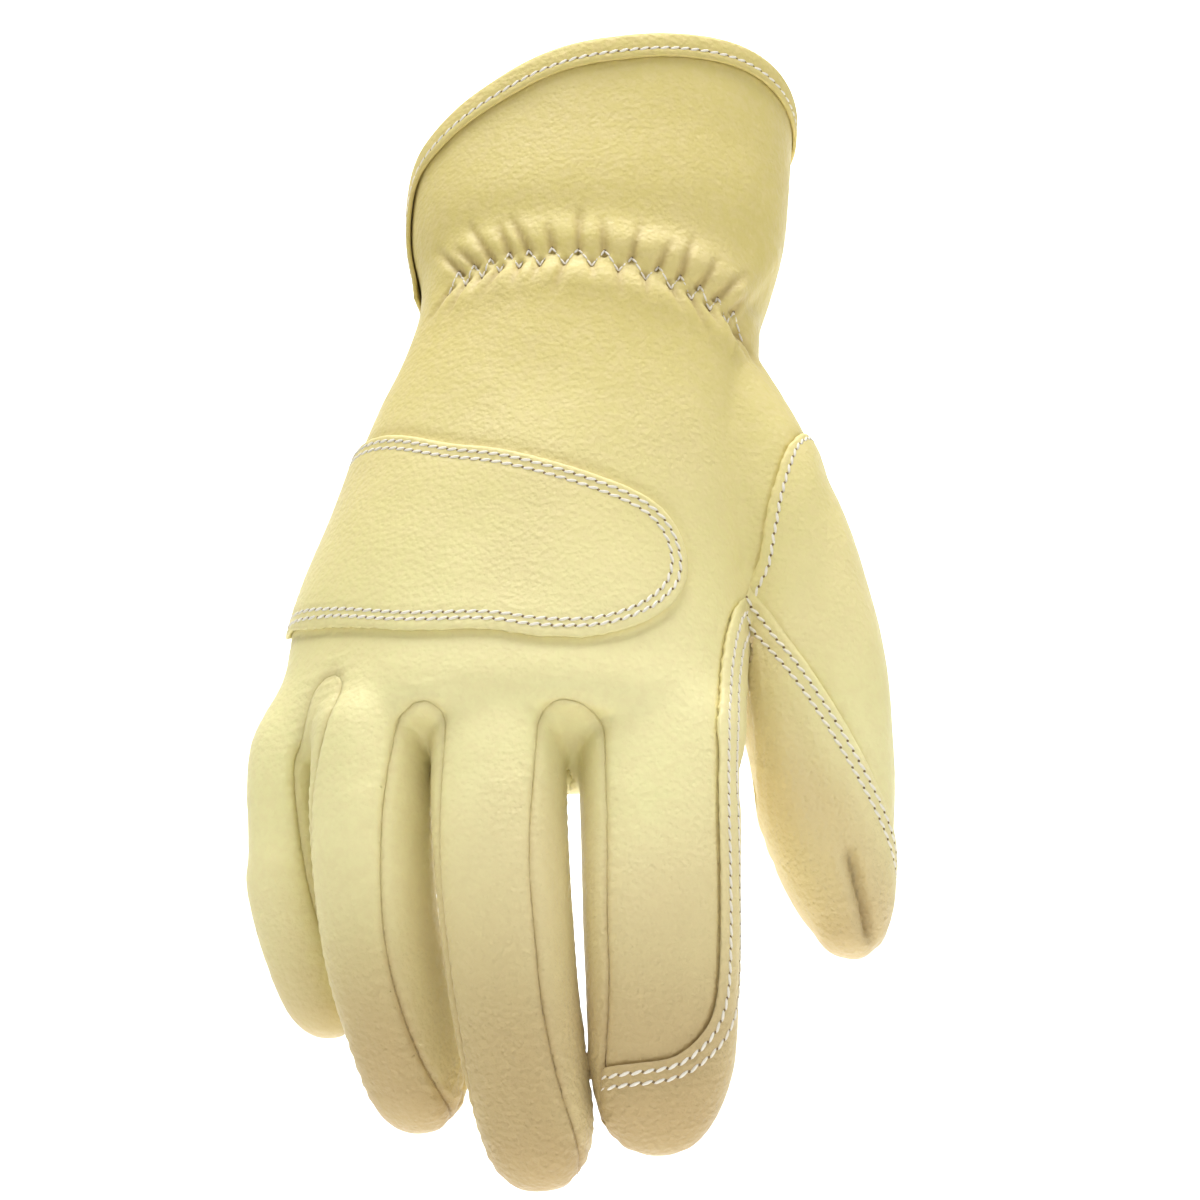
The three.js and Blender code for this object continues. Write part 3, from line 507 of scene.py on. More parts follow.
edge_end = [finger_place("index", share, a, b)[[0, 2]] for share, a, b in INDEX_EDGE_END]
index_edge = beside(flat, drawn_smooth(INDEX_EDGE_START + edge_end))
little_share, little_a, little_b, _, little_depth = charts["little"]
low = ramp(-points[:, 2], 146, 166)
little_side = low * -(little_b - 0.5 * np.maximum(-little_a, 0)) * little_depth
little_side += (1 - low) * (around + LITTLE_SEAM + 14 * low) * MILLIMETRES_PER_DEGREE
by_little_seam = (points[:, 0] < -48) | (points[:, 2] > -120)
front_or_back = np.where(np.abs(around) < 100, FAR_OFF, -FAR_OFF)
little_side = np.where(by_little_seam, little_side, front_or_back)
wrist_side = (THUMB_SEAM - around) * MILLIMETRES_PER_DEGREE
index_side = np.minimum(index_edge, (THUMB_SEAM + 13 - around) * MILLIMETRES_PER_DEGREE)
thumb_side = np.where(points[:, 2] > -116, wrist_side, index_side)
back = np.minimum(np.where(np.abs(around) < 150, little_side, -FAR_OFF), thumb_side)
for finger, number in (("index", INDEX), ("middle", MIDDLE), ("ring", RING), ("little", LITTLE)):
    _, a, b, _, half_depth = charts[finger]
    facing = {INDEX: np.minimum(index_edge, -b * half_depth), LITTLE: little_side}
    back = np.where(limb == number, facing.get(number, -b * half_depth), back)
by_crotch = ((limb == BODY) | (limb == THUMB)) & (points[:, 0] > 0) & (points[:, 2] < -125)
lapped = ((limb == INDEX) | by_crotch).astype(float)

strap = np.minimum(beside(flat, drawn_smooth(STRAP_EDGE)), 6 - points[:, 1])
edge_table = smooth_table(CUFF_EDGE)
step = 2
rise = (edge_table(around - step)[0] - edge_table(around + step)[0]) * CUFF_HEIGHT
run = math.radians(2 * step) * (CUFF_WIDTH + CUFF_DEPTH) / 4
cuff = (-points[:, 2] - edge_table(around)[0] * CUFF_HEIGHT) * run / np.hypot(run, rise)
cuff = np.where(-points[:, 2] > 70, 40, cuff)

FIELDS = {
    "gap": gap, "gap_number": gap_number, "thumb": thumb, "diagonal": diagonal, "back": back,
    "lapped": lapped, "strap": strap, "cuff": cuff, "limb": limb,
}
layers = {name: form.verts.layers.float.new(name) for name in FIELDS}
for name, values in FIELDS.items():
    for vert, value in zip(form.verts, values):
        vert[layers[name]] = float(value)


def cut(bm, name, level, allowed):
    """Cuts the skin along the line on which a field has one value."""
    layer = layers[name]
    crossing = []
    for edge in bm.edges:
        first, last = edge.verts
        a, b = first[layer] - level, last[layer] - level
        if a * b < 0 and allowed(first) and allowed(last):
            share = a / (a - b)
            if share < 0.12:
                first[layer] = level
            elif share > 0.88:
                last[layer] = level
            else:
                crossing.append(edge)
    made = []
    for edge in crossing:
        first, last = edge.verts
        a, b = first[layer] - level, last[layer] - level
        if a * b < 0:
            made.append(bmesh.utils.edge_split(edge, first, a / (a - b))[1])
    for vert in made:
        vert[layer] = level
    on_line = {vert for vert in bm.verts if abs(vert[layer] - level) < 1e-7 and allowed(vert)}
    bmesh.ops.connect_verts(bm, verts=list(on_line))


def off_gap_and_thumb(vert):
    return vert[layers["gap"]] < 0.5 and vert[layers["thumb"]] < 2.5


def on_thumb(vert):
    return vert[layers["thumb"]] > -0.5


def anywhere(vert):
    return True


def by_lapped_back(vert):
    return off_gap_and_thumb(vert) and vert[layers["lapped"]] > 0


UNDER_LAP = 2.0
SEAM_CUTS, EDGE_CUTS = (-0.9, -0.35, 0, 0.35, 0.9), (0, 0.4, 0.9)
CUTS = [
    ("gap", SEAM_CUTS, anywhere), ("thumb", (*EDGE_CUTS, UNDER_LAP), anywhere),
    ("diagonal", (-UNDER_LAP, *EDGE_CUTS), on_thumb), ("back", SEAM_CUTS, off_gap_and_thumb),
    ("back", (-UNDER_LAP,), by_lapped_back), ("strap", EDGE_CUTS, anywhere),
]
cut(form, "cuff", 0, anywhere)
above = [face for face in form.faces if sum(vert[layers["cuff"]] for vert in face.verts) < 0]
bmesh.ops.delete(form, geom=above, context="FACES")
for name, levels, allowed in CUTS:
    for level in levels:
        cut(form, name, level, allowed)

# The shape that the sewing gives the leather, as millimetres out from the hand's skin. Seams turn the edges
# in, laps stand a leather's thickness proud, and the hidden elastic gathers the wrist.
SEAM_ROLL, SEAM_DEPTH = 1.9, 0.95
PEAKS = (-30.4, -27, -23.4, -19.4, -15.2, -10.2, -4.6, 1.0, 6.8, 12.5, 17.2, 21.4, 25.2, 28.8)
VALLEYS = (-32.6, -28.8, -25.2, -21.4, -17.3, -12.8, -7.5, -1.8, 3.9, 9.6, 15.0, 19.4, 23.4, 27.0, 30.6)
ZIGZAG_HALF_HEIGHT = 2.3
gap_layer, thumb_layer = layers["gap"], layers["thumb"]
LITTLE_SIDE = -50
ROUNDED_ZONES = [  # lowest and highest place, how often it is relaxed, and where
    (-182, -140, 40, lambda vert: vert[gap_layer] < -2 and vert[thumb_layer] < -2),
    (-190, -140, 170, lambda vert: vert[gap_layer] < -2 and vert.co.x < LITTLE_SIDE),
    (-140, -84, 25, lambda vert: abs(vert[thumb_layer]) < 16),
    (-208, -176, 12, lambda vert: vert[gap_layer] < -1 and vert.co.x < LITTLE_SIDE),
    (-152, -125, 14, lambda vert: abs(vert[thumb_layer]) < 7),
    (-178, 0, 14, lambda vert: vert[gap_layer] > -2 and vert[thumb_layer] < -2),
]
for lowest, highest, times, holds in ROUNDED_ZONES:
    zone = [vert for vert in form.verts if lowest < vert.co.z < highest and holds(vert)]
    relax(form, zone, times)
form.normal_update()
skin = places_of(form)
normals = np.array([vert.normal for vert in form.verts])
field = {name: np.array([vert[layer] for vert in form.verts]) for name, layer in layers.items()}
skin_flat = skin[:, [0, 2]]


def rolled(distance, reach, depth):
    """How far an edge sinks towards a seam when its leather is turned in over a round bend."""
    near = np.clip(1 - np.abs(distance) / reach, 0, 0.94)
    return -depth * (1 - np.sqrt(1 - near**2))


def hollow(distance, reach):
    return np.exp(-((distance / reach) ** 2))


def waves(scale, seed):
    """A soft uneven field over the skin, between about -1 and 1."""
    shift = Vector((seed * 31.7, seed * 17.3, seed * 7.9))
    return np.array([noise.noise(Vector(place) / scale + shift) for place in skin])


on_back = ramp(-normals[:, 1], -0.1, 0.35)
soft_swell = waves(26, 1) * 0.45 + waves(11, 2) * 0.18
elastic = beside(skin_flat, ELASTIC_LINE)


def elastic_z(x):
    line = np.array(ELASTIC_LINE)
    return float(np.interp(x, line[:, 0], line[:, 1]))


def crease(start, end, depth, width):
    """A crease that is deepest where it starts and runs out at its end."""
    start, end = np.array(start), np.array(end)
    run = end - start
    share = (skin_flat - start) @ run / (run @ run)
    away = skin_flat - start - np.clip(share, 0, 1)[:, None] * run
    bend = 0.5 * waves(5, 8)
    distance = np.abs(run[1] * away[:, 0] - run[0] * away[:, 1]) / np.hypot(*run)
    past = np.hypot(away[:, 0], away[:, 1])
    near = hollow(np.maximum(distance, past) + bend * np.clip(share, 0, 1), width)
    return depth * near * (1 - 0.85 * np.clip(share, 0, 1))


elastic_reach = ramp(skin_flat[:, 0], -38, -29) * (1 - ramp(skin_flat[:, 0], 28, 35)) * on_back
GATHER_WIDTH = 0.75


def gathers_from(turns, side, depth, fan, lengths, leans):
    """The creases that start at the zigzag's turns and fan out from the elastic on one of its sides."""
    found = np.zeros(len(skin))
    for number, x in enumerate(turns):
        reach = lengths[number % len(lengths)]
        lean = fan * x + leans[number % len(leans)]
        start = (x, elastic_z(x) + side * (ZIGZAG_HALF_HEIGHT - 1))
        found += crease(start, (x + lean * reach, start[1] + side * reach), depth, GATHER_WIDTH)
    return found


gathers = gathers_from(PEAKS, 1, 1.9, 0.022, (9, 6.5, 10.5, 8), (0.12, -0.1, 0.05))
gathers += gathers_from(VALLEYS, -1, 1.6, 0.02, (6, 8.5, 5, 7.5, 6.5), (-0.1, 0.12, 0.0))
gathers *= on_back
pinch = 1.1 * hollow(elastic, 2.6) - 0.9 * hollow(elastic + 6.5, 4.2) - 0.55 * hollow(elastic - 6, 3.6)
pinch *= elastic_reach
WRIST_FOLD = [(40, -53), (36, -61), (31.5, -69), (29.5, -76)]
fold = beside(skin_flat, WRIST_FOLD)
wrist_fold = (1.2 * hollow(fold, 1.3) - 0.7 * hollow(fold - 3.5, 2.6)) * on_back
THUMB_CLOSING = [(49.2, -185.5), (51, -192), (53.6, -200)]
closing = beside(skin_flat, THUMB_CLOSING)
on_thumb_end = ramp(-skin_flat[:, 1], 183, 189) * (field["limb"] == THUMB)
thumb_closing = (2.6 * hollow(closing, 0.95) - 0.5 * hollow(np.abs(closing) - 2.6, 1.8)) * on_thumb_end
web_folds = crease((-50.5, -160.5), (-56.5, -178), 1.5, 0.9) + crease((-29.5, -168), (-31, -178), 0.9, 0.8)
web_folds *= on_back * (field["gap"] > 0.5)
SEAM_STITCH = 2.5
pulled_stitches = np.cos(2 * np.pi * skin[:, 2] / SEAM_STITCH + 3 * waves(7, 5))
seam_ticks = 0.13 * pulled_stitches * hollow(np.abs(field["gap"]) - 1.8, 1.6)

lapped_zone = field["lapped"]
swell = soft_swell * np.where(field["limb"] < THUMB, 0.55, 1.0)
shared = swell - gathers - pinch - wrist_fold - thumb_closing - seam_ticks - web_folds
shared += rolled(field["gap"], SEAM_ROLL, SEAM_DEPTH)
free_back = np.where((lapped_zone < 0.5) & (field["thumb"] < 0) & (field["gap"] < 0.2), field["back"], 9)
shared += rolled(free_back, SEAM_ROLL, SEAM_DEPTH)


def lapped_edge(inward, rows, height=1.05, fade=(5, 13)):
    """A turned edge that stands on another piece: its height, its round fold and the pull of its stitches."""
    lift = height * (1 - ramp(inward, *fade)) + rolled(np.clip(inward, 0, None), 1.1, 0.6)
    return lift - 0.24 * sum(hollow(inward - row, 0.5) for row in rows)


def sunk(inward):
    return -0.5 * ramp(inward, -0.6, 0.3) - 0.15 * hollow(inward + 1.2, 1.3)


THUMB_ROW, SEAM_ROWS, STRAP_ROWS = [1.5], [1.5, 3.3], [1.5, 3.2]
STRAP_HEIGHT, ARCH_HEIGHT, NEVER = 1.3, 1.15, (98, 99)
thumb_in, tip_in, palm_in, strap_in = field["thumb"], field["diagonal"], -field["back"], field["strap"]
lifts = {
    "back_panel": sunk(thumb_in) + sunk(palm_in) * lapped_zone - 0.3 * hollow(strap_in + 1.0, 1.2),
    "palm_panel": sunk(thumb_in) + lapped_edge(palm_in, SEAM_ROWS) * lapped_zone * (palm_in > -0.2),
    "thumb_outer": lapped_edge(thumb_in, THUMB_ROW) + sunk(tip_in),
    "thumb_inner": lapped_edge(np.minimum(tip_in, thumb_in + 0.2), SEAM_ROWS),
    "knuckle_strap": STRAP_HEIGHT + lapped_edge(strap_in, STRAP_ROWS, 0, NEVER),
}
for name in ("middle_index", "ring_middle", "little_ring"):
    lifts["fourchette_" + name] = np.zeros(len(skin))

# Over the thumb's crotch the palm's lapped edge runs on into the thumb's, as one low arch.
crotch_miss = np.abs(thumb_in) + np.abs(palm_in) + np.abs(tip_in) + FAR_OFF * (normals[:, 1] > 0)
from_crotch = np.linalg.norm(skin - skin[np.argmin(crotch_miss)], axis=1)
at_crotch = 1 - ramp(from_crotch, 8, 17)
onto_thumb = ramp(thumb_in, -2.5, 2.5)
arch_in = palm_in * (1 - onto_thumb) + tip_in * onto_thumb
arched = lapped_edge(arch_in, SEAM_ROWS, ARCH_HEIGHT)
mean_out = normals[at_crotch > 0.5].mean(axis=0)
one_way = (1 - ramp(from_crotch, 6, 12))[:, None]
outward = normals * (1 - one_way) + mean_out / np.linalg.norm(mean_out) * one_way
outward /= np.linalg.norm(outward, axis=1)[:, None]
lifts["back_panel"] += (0.5 - lifts["back_panel"]) * (1 - ramp(from_crotch, 2, 6))
for name, lift in (("palm_panel", arched - 1.3 * ramp(thumb_in, -0.1, 0.6)), ("thumb_inner", arched - 0.1)):
    lifts[name] = lifts[name] * (1 - at_crotch) + lift * at_crotch

# Each piece of leather takes the faces whose middle lies on its side of the seams.
corner_list = np.array([vert.index for face in form.faces for vert in face.verts])
corner_face = np.repeat(np.arange(len(form.faces)), [len(face.verts) for face in form.faces])
corner_count = np.bincount(corner_face)
middle = {
    name: np.bincount(corner_face, weights=values[corner_list]) / corner_count
    for name, values in field.items()
}
off_gaps, off_thumb = middle["gap"] < 0, middle["thumb"] < UNDER_LAP
gap_here = np.round(middle["gap_number"])
chosen = {
    "back_panel": off_gaps & off_thumb & (middle["back"] > -UNDER_LAP * (middle["lapped"] > 0.5)),
    "palm_panel": off_gaps & off_thumb & (middle["back"] < 0),
    "thumb_outer": (middle["thumb"] > 0) & (middle["diagonal"] < UNDER_LAP),
    "thumb_inner": (middle["thumb"] > 0) & (middle["diagonal"] > 0),
    "fourchette_middle_index": ~off_gaps & (middle["thumb"] < 0) & (gap_here == 0),
    "fourchette_ring_middle": ~off_gaps & (middle["thumb"] < 0) & (gap_here == 1),
    "fourchette_little_ring": ~off_gaps & (middle["thumb"] < 0) & (gap_here == 2),
    "knuckle_strap": middle["strap"] > 0,
}

# The leather. Pale buff goatskin with a fine pebbled grain on the outside, warmer towards the fingertips,
# with painted shade in a darker tan in its seams, folds and finger valleys and under the fingertips. Its
# flesh side is matt and napped, and shows inside the cuff.
GRAIN_PALE, GRAIN_WARM = (0.84, 0.77, 0.40, 1), (0.75, 0.61, 0.32, 1)
# The darker tan below is the colour of the painted shade in seams, folds, finger valleys and under the
# fingertips.
GRAIN_GREEN, PAINTED_SHADE_TAN = (0.79, 0.74, 0.36, 1), (0.41, 0.28, 0.115, 1)
GRAIN_SUNNED, BINDING_WARM = (0.66, 0.55, 0.185, 1), (0.76, 0.56, 0.28, 1)
SUNNED_FROM, SUNNED_TO = -0.165, -0.075
FLESH_SIDE, FLESH_DARK = (0.76, 0.62, 0.34, 1), (0.66, 0.50, 0.26, 1)


def leather(name, pale, warm, green, sunned, grain_depth, roughness):
    finish = bpy.data.materials.new(name)
    finish.use_nodes = True
    nodes, links = finish.node_tree.nodes, finish.node_tree.links
    shader = nodes["Principled BSDF"]
    place = nodes.new("ShaderNodeTexCoord").outputs["Object"]
    height = nodes.new("ShaderNodeSeparateXYZ")
    links.new(place, height.inputs["Vector"])

    def texture(kind, scale, **settings):
        node = nodes.new(kind)
        node.inputs["Scale"].default_value = scale
        for setting, value in settings.items():
            node.inputs[setting].default_value = value
        links.new(place, node.inputs["Vector"])
        return node

    def mixed(share, first, second):
        node = nodes.new("ShaderNodeMix")
        node.data_type = "RGBA"
        for socket, value in ((node.inputs[0], share), (node.inputs[6], first), (node.inputs[7], second)):
            if isinstance(value, bpy.types.NodeSocket):
                links.new(value, socket)
            else:
                socket.default_value = value
        return node.outputs[2]

    def narrowed(source, low, high, start=0.0, end=1.0):
        node = nodes.new("ShaderNodeMapRange")
        links.new(source, node.inputs["Value"])
        for socket, value in zip(("From Min", "From Max", "To Min", "To Max"), (low, high, start, end)):
            node.inputs[socket].default_value = value
        return node.outputs["Result"]

    def painted(attribute):
        node = nodes.new("ShaderNodeAttribute")
        node.attribute_name = attribute
        return node.outputs["Fac"]

    cloud = texture("ShaderNodeTexNoise", 24, Detail=3.0, Roughness=0.55).outputs["Fac"]
    speck = texture("ShaderNodeTexNoise", 420, Detail=4.0, Roughness=0.6).outputs["Fac"]
    pebble = texture("ShaderNodeTexVoronoi", 980)
    pebble.feature = "SMOOTH_F1"
    pore = texture("ShaderNodeTexNoise", 2300, Detail=3.0, Roughness=0.6).outputs["Fac"]
    wrinkle = texture("ShaderNodeTexNoise", 330, Detail=5.0, Roughness=0.62, Distortion=0.5).outputs["Fac"]
    colour = mixed(narrowed(cloud, 0.35, 0.65), pale, green)
    colour = mixed(narrowed(height.outputs["Z"], SUNNED_FROM, SUNNED_TO), colour, sunned)
    colour = mixed(painted("warmth"), colour, warm)
    colour = mixed(narrowed(speck, 0.42, 0.62, 0, 0.22), colour, warm)
    # Painted shade: the "crease" paint mixes in the darker tan in seams, folds, finger valleys and under the
    # fingertips.
    colour = mixed(painted("crease"), colour, PAINTED_SHADE_TAN)
    links.new(colour, shader.inputs["Base Color"])
    links.new(narrowed(wrinkle, 0.3, 0.7, roughness - 0.07, roughness + 0.08), shader.inputs["Roughness"])
    surface = None
    for source, strength, depth in (
        (wrinkle, 0.5, 0.0003 * grain_depth), (pebble.outputs["Distance"], 0.9, 0.00042 * grain_depth),
        (pore, 0.8, 0.00022 * grain_depth),
    ):
        bump = nodes.new("ShaderNodeBump")
        links.new(narrowed(painted("warmth"), 0, 0.7, 0.4 * strength, strength), bump.inputs["Strength"])
        bump.inputs["Distance"].default_value = depth
        links.new(source, bump.inputs["Height"])
        if surface:
            links.new(surface, bump.inputs["Normal"])
        surface = bump.outputs["Normal"]
    links.new(surface, shader.inputs["Normal"])
    shader.inputs["Sheen Weight"].default_value = 0.08
    shader.inputs["Specular IOR Level"].default_value = 0.42
    return finish


grain_leather = leather("goatskin_grain", GRAIN_PALE, GRAIN_WARM, GRAIN_GREEN, GRAIN_SUNNED, 1.0, 0.52)
flesh_leather = leather("goatskin_flesh", FLESH_SIDE, FLESH_DARK, FLESH_SIDE, FLESH_SIDE, 2.2, 0.85)

# How warm each place of the leather is, and how much painted shade it gets in seams, finger valleys, gathers
# and under the fingertips, painted on the pieces for the finish to read.
# Painted shade: darker near the seams, in the valleys between the fingers, in the gathers and the thumb's
# closing fold.
valley = hollow(np.clip(6 - field["gap"], 0, None), 5) * (field["gap"] > 0)
near_seams = np.maximum(hollow(field["gap"], 0.8), hollow(free_back, 0.8))
# Painted shade under the fingertips, where the leather faces down.
under_tips = ramp(-normals[:, 2], -0.1, 0.65) * ramp(-skin[:, 2], 182, 229)
thumb_pad = ramp(field["diagonal"], 0, 12) * (field["limb"] == THUMB)
folded = 0.45 * np.clip(gathers, 0, 1) + 0.3 * hollow(closing, 1.0) * on_thumb_end
seam_shade = np.clip(0.22 * near_seams + 0.16 * valley + folded, 0, 0.8)
# All the painted shade together, with a little of the same darker tan over the thumb's pad.
painted_shade_and_thumb_tone = np.clip(seam_shade + 0.85 * under_tips + 0.16 * thumb_pad, 0, 0.92)
finger_warmth = 0.85 * ramp(-skin[:, 2], 165, 228) * ramp(skin[:, 0], -52, 0)
warmth = np.clip(np.clip(finger_warmth + 0.35 * waves(22, 6), 0, 1) + 0.6 * thumb_pad, 0, 1)


def piece_of_skin(name, thickness):
    """Cuts one piece of leather from the hand's skin, shapes it, and gives it its thickness and finish."""
    bm = form.copy()
    bm.faces.ensure_lookup_table()
    bm.verts.ensure_lookup_table()
    # The "crease" paint carries the painted shade.
    warm_layer, shade_and_thumb_tone_layer = (bm.verts.layers.float.new(paint) for paint in ("warmth", "crease"))
    out = shared + lifts[name]
    for number, vert in enumerate(bm.verts):
        vert.co = Vector(skin[number] + outward[number] * out[number])
        vert[warm_layer] = float(warmth[number])
        vert[shade_and_thumb_tone_layer] = float(painted_shade_and_thumb_tone[number])
    unwanted = [face for face, wanted in zip(bm.faces, chosen[name]) if not wanted]
    bmesh.ops.delete(bm, geom=unwanted, context="FACES")
    bm.normal_update()
    uncut_piece = bm.copy()
    bmesh.ops.scale(bm, vec=(MILLIMETRE,) * 3, verts=bm.verts)
    data = bpy.data.meshes.new(name)
    bm.to_mesh(data)
    bm.free()
    for paint in FIELDS:
        data.attributes.remove(data.attributes[paint])
    data.shade_smooth()
    data.materials.append(grain_leather)
    data.materials.append(flesh_leather)
    piece = bpy.data.objects.new(name + "_leather", data)
    bpy.context.scene.collection.objects.link(piece)
    wall = piece.modifiers.new("leather", "SOLIDIFY")
    wall.thickness = thickness * MILLIMETRE
    wall.offset = -1
    wall.material_offset = 1
    wall.material_offset_rim = 0
    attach(piece, "root")
    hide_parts(name)
    return uncut_piece


LEATHER_THICKNESS, STRAP_THICKNESS = 1.3, 1.1
pieces = {}

# The back and palm panels. Two large pieces of grain leather, sewn together inside out along the sides. On
# the index finger the palm's edge is turned in and lapped on the back, under two rows of stitches.
for name in ("back_panel", "palm_panel"):
    pieces[name] = piece_of_skin(name, LEATHER_THICKNESS)

# The thumb. An outer piece whose turned edge lies on the back panel, and an inner piece of the same leather
# over the ball and the end, lapped on it along a diagonal and closed by a short seam at the tip.
for name in ("thumb_outer", "thumb_inner"):
    pieces[name] = piece_of_skin(name, LEATHER_THICKNESS)

# The side strips. Three narrow strips of the same leather, each sewn in from one fingertip over the crotch to
# the next fingertip, with the seams turned inside.
for name in ("fourchette_middle_index", "fourchette_ring_middle", "fourchette_little_ring"):
    pieces[name] = piece_of_skin(name, LEATHER_THICKNESS)

# The knuckle strap. A second, thinner layer of leather over the knuckles, its edge turned in and held by two
# rows of stitches. It is round at its thumb end.
pieces["knuckle_strap"] = piece_of_skin("knuckle_strap", STRAP_THICKNESS)

# The threads of the laps. Pale twisted polyester, in lockstitches of about eleven to the inch, sewn through
# both layers. Where one stitch ends and the next starts, a small dark bead of painted shade stands for the
# shadow in the needle hole.
THREAD_RADIUS, STITCH_LENGTH, THREAD_SLANT = 0.33, 2.3, 0.3
ZIGZAG_RADIUS, ZIGZAG_SLANT = 0.25, 0.1
HOLE_SIZE = (0.34, 0.34, 0.14, 1)
THREAD_COLOUR, HOLE_SHADE_COLOUR = (0.84, 0.79, 0.68), (0.24, 0.17, 0.09)


def rows_on(bm, name, level, only=None):
    """Follows the lines along which a field has one value: their places and the leather's direction out."""
    layer = bm.verts.layers.float[name]
    where = bm.verts.layers.float[only or name]
    crossing = {}
    for edge in bm.edges:
        first, last = edge.verts
        a, b = first[layer] - level, last[layer] - level
        if a * b < 0 and (not only or min(first[where], last[where]) > 0.5):
            share = a / (a - b)
            out = first.normal.lerp(last.normal, share).normalized()
            crossing[edge] = (first.co.lerp(last.co, share), out)
    neighbours = {edge: [] for edge in crossing}
    for face in bm.faces:
        met = [edge for edge in face.edges if edge in crossing]
        if len(met) == 2:
            neighbours[met[0]].append(met[1])
            neighbours[met[1]].append(met[0])
    lines, used = [], set()
    for start in sorted(crossing, key=lambda edge: (len(neighbours[edge]), edge.index)):
        line, at = [], start if start not in used else None
        while at:
            used.add(at)
            line.append(crossing[at])
            at = next((other for other in neighbours[at] if other not in used), None)
        if len(line) > 12:
            lines.append(line)
    return lines


def evenly(line, pitch, closed=False, times=6):
    """Places at even steps along a line, smoothed a little so that the row runs true."""
    places = np.array([[*place, *out] for place, out in line])
    for _ in range(times):
        if closed:
            places = (np.roll(places, 1, axis=0) + 2 * places + np.roll(places, -1, axis=0)) / 4
        else:
            places[1:-1] = (places[:-2] + 2 * places[1:-1] + places[2:]) / 4
    if closed:
        places = np.vstack([places, places[:1]])
    steps = np.hypot.reduce(np.diff(places[:, :3], axis=0), axis=1)
    along = np.concatenate([[0], np.cumsum(steps)])
    count = max(int(along[-1] / pitch), 1)
    wanted = np.linspace(0, along[-1], count + 1)
    spaced = np.array([np.interp(wanted, along, column) for column in places.T]).T
    return [(Vector(row[:3]), Vector(row[3:]).normalized()) for row in spaced]


def bead(material, segments, rings):
    """A small closed bead that a stitch or a needle hole is stretched from."""
    bm = bmesh.new()
    bmesh.ops.create_uvsphere(bm, u_segments=segments, v_segments=rings, radius=1)
    for face in bm.faces:
        face.material_index = material
    data = bpy.data.meshes.new("bead")
    bm.to_mesh(data)
    bm.free()
    return data


stitch_bead, hole_bead = bead(0, 8, 6), bead(1, 6, 4)


def add_bead(bm, shape, matrix):
    shape.transform(matrix)
    bm.from_mesh(shape)
    shape.transform(matrix.inverted())


def stitch(bm, start, end, out, slant=THREAD_SLANT, radius=THREAD_RADIUS):
    run = end - start
    side = out.cross(run).normalized()
    turned = (run.normalized() + side * slant).normalized()
    side = out.cross(turned).normalized()
    frame_here = Matrix((turned, side, turned.cross(side))).transposed().to_4x4()
    size = Matrix.Diagonal((run.length * 0.5, radius, radius * 0.8, 1))
    place = Matrix.Translation((start + end) / 2 + out * radius * 0.35)
    add_bead(bm, stitch_bead, place @ frame_here @ size)


# A small flat dark bead of painted shade, standing for the shadow in a needle hole.
def needle_hole(bm, place, out):
    turn = out.to_track_quat("Z", "Y").to_matrix().to_4x4()
    add_bead(bm, hole_bead, Matrix.Translation(place) @ turn @ Matrix.Diagonal(HOLE_SIZE))


def finish_threads(bm, name):
    bmesh.ops.scale(bm, vec=(MILLIMETRE,) * 3, verts=bm.verts)
    data = bpy.data.meshes.new(name)
    bm.to_mesh(data)
    bm.free()
    data.shade_smooth()
    data.materials.append(thread)
    data.materials.append(hole_shadow)
    threads = bpy.data.objects.new(name, data)
    bpy.context.scene.collection.objects.link(threads)
    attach(threads, "root")


def plain_finish(name, colour, roughness):
    finish = bpy.data.materials.new(name)
    finish.use_nodes = True
    nodes, links = finish.node_tree.nodes, finish.node_tree.links
    shader = nodes["Principled BSDF"]
    twist = nodes.new("ShaderNodeTexNoise")
    twist.inputs["Scale"].default_value = 1800
    links.new(nodes.new("ShaderNodeTexCoord").outputs["Object"], twist.inputs["Vector"])
    tone = nodes.new("ShaderNodeMapRange")
    tone.inputs["To Min"].default_value, tone.inputs["To Max"].default_value = 0.82, 1.1
    links.new(twist.outputs["Fac"], tone.inputs["Value"])
    shade = nodes.new("ShaderNodeVectorMath")
    shade.operation = "SCALE"
    shade.inputs[0].default_value = colour
    links.new(tone.outputs["Result"], shade.inputs["Scale"])
    links.new(shade.outputs["Vector"], shader.inputs["Base Color"])
    shader.inputs["Roughness"].default_value = roughness
    return finish


thread = plain_finish("pale_thread", THREAD_COLOUR, 0.6)
hole_shadow = plain_finish("needle_hole_shade", HOLE_SHADE_COLOUR, 0.9)
for name, source, seam, sign, levels, only in (
    ("strap_stitches", "knuckle_strap", "strap", 1, STRAP_ROWS, None),
    ("palm_lap_stitches", "palm_panel", "back", -1, SEAM_ROWS, "lapped"),
    ("thumb_lap_stitches", "thumb_inner", "diagonal", 1, SEAM_ROWS, None),
    ("thumb_edge_stitches", "thumb_outer", "thumb", 1, THUMB_ROW, None),
):
    bm = bmesh.new()
    for level in levels:
        lines = rows_on(pieces[source], seam, sign * level, only)
        for line in [max(lines, key=len)] if only else lines:
            row = evenly(line, STITCH_LENGTH)
            for (start, out), (end, _) in zip(row, row[1:]):
                stitch(bm, start, end, out)
                needle_hole(bm, start, out)
    finish_threads(bm, name)

# The zigzag row across the wrist. The same thread, sewn through the leather and a stretched elastic under it,
# which draws the leather into gathers. Each leg of the zigzag is three stitches laid on the gathered leather.
LEG_STITCHES = 3
back_surface = BVHTree.FromBMesh(pieces["back_panel"])
turns = [(x, ZIGZAG_HALF_HEIGHT) for x in PEAKS] + [(x, -ZIGZAG_HALF_HEIGHT) for x in VALLEYS]
bm = bmesh.new()


def on_back_panel(x, z):
    place, out, _, _ = back_surface.ray_cast(Vector((x, -80, z)), Vector((0, 1, 0)))
    return place, out


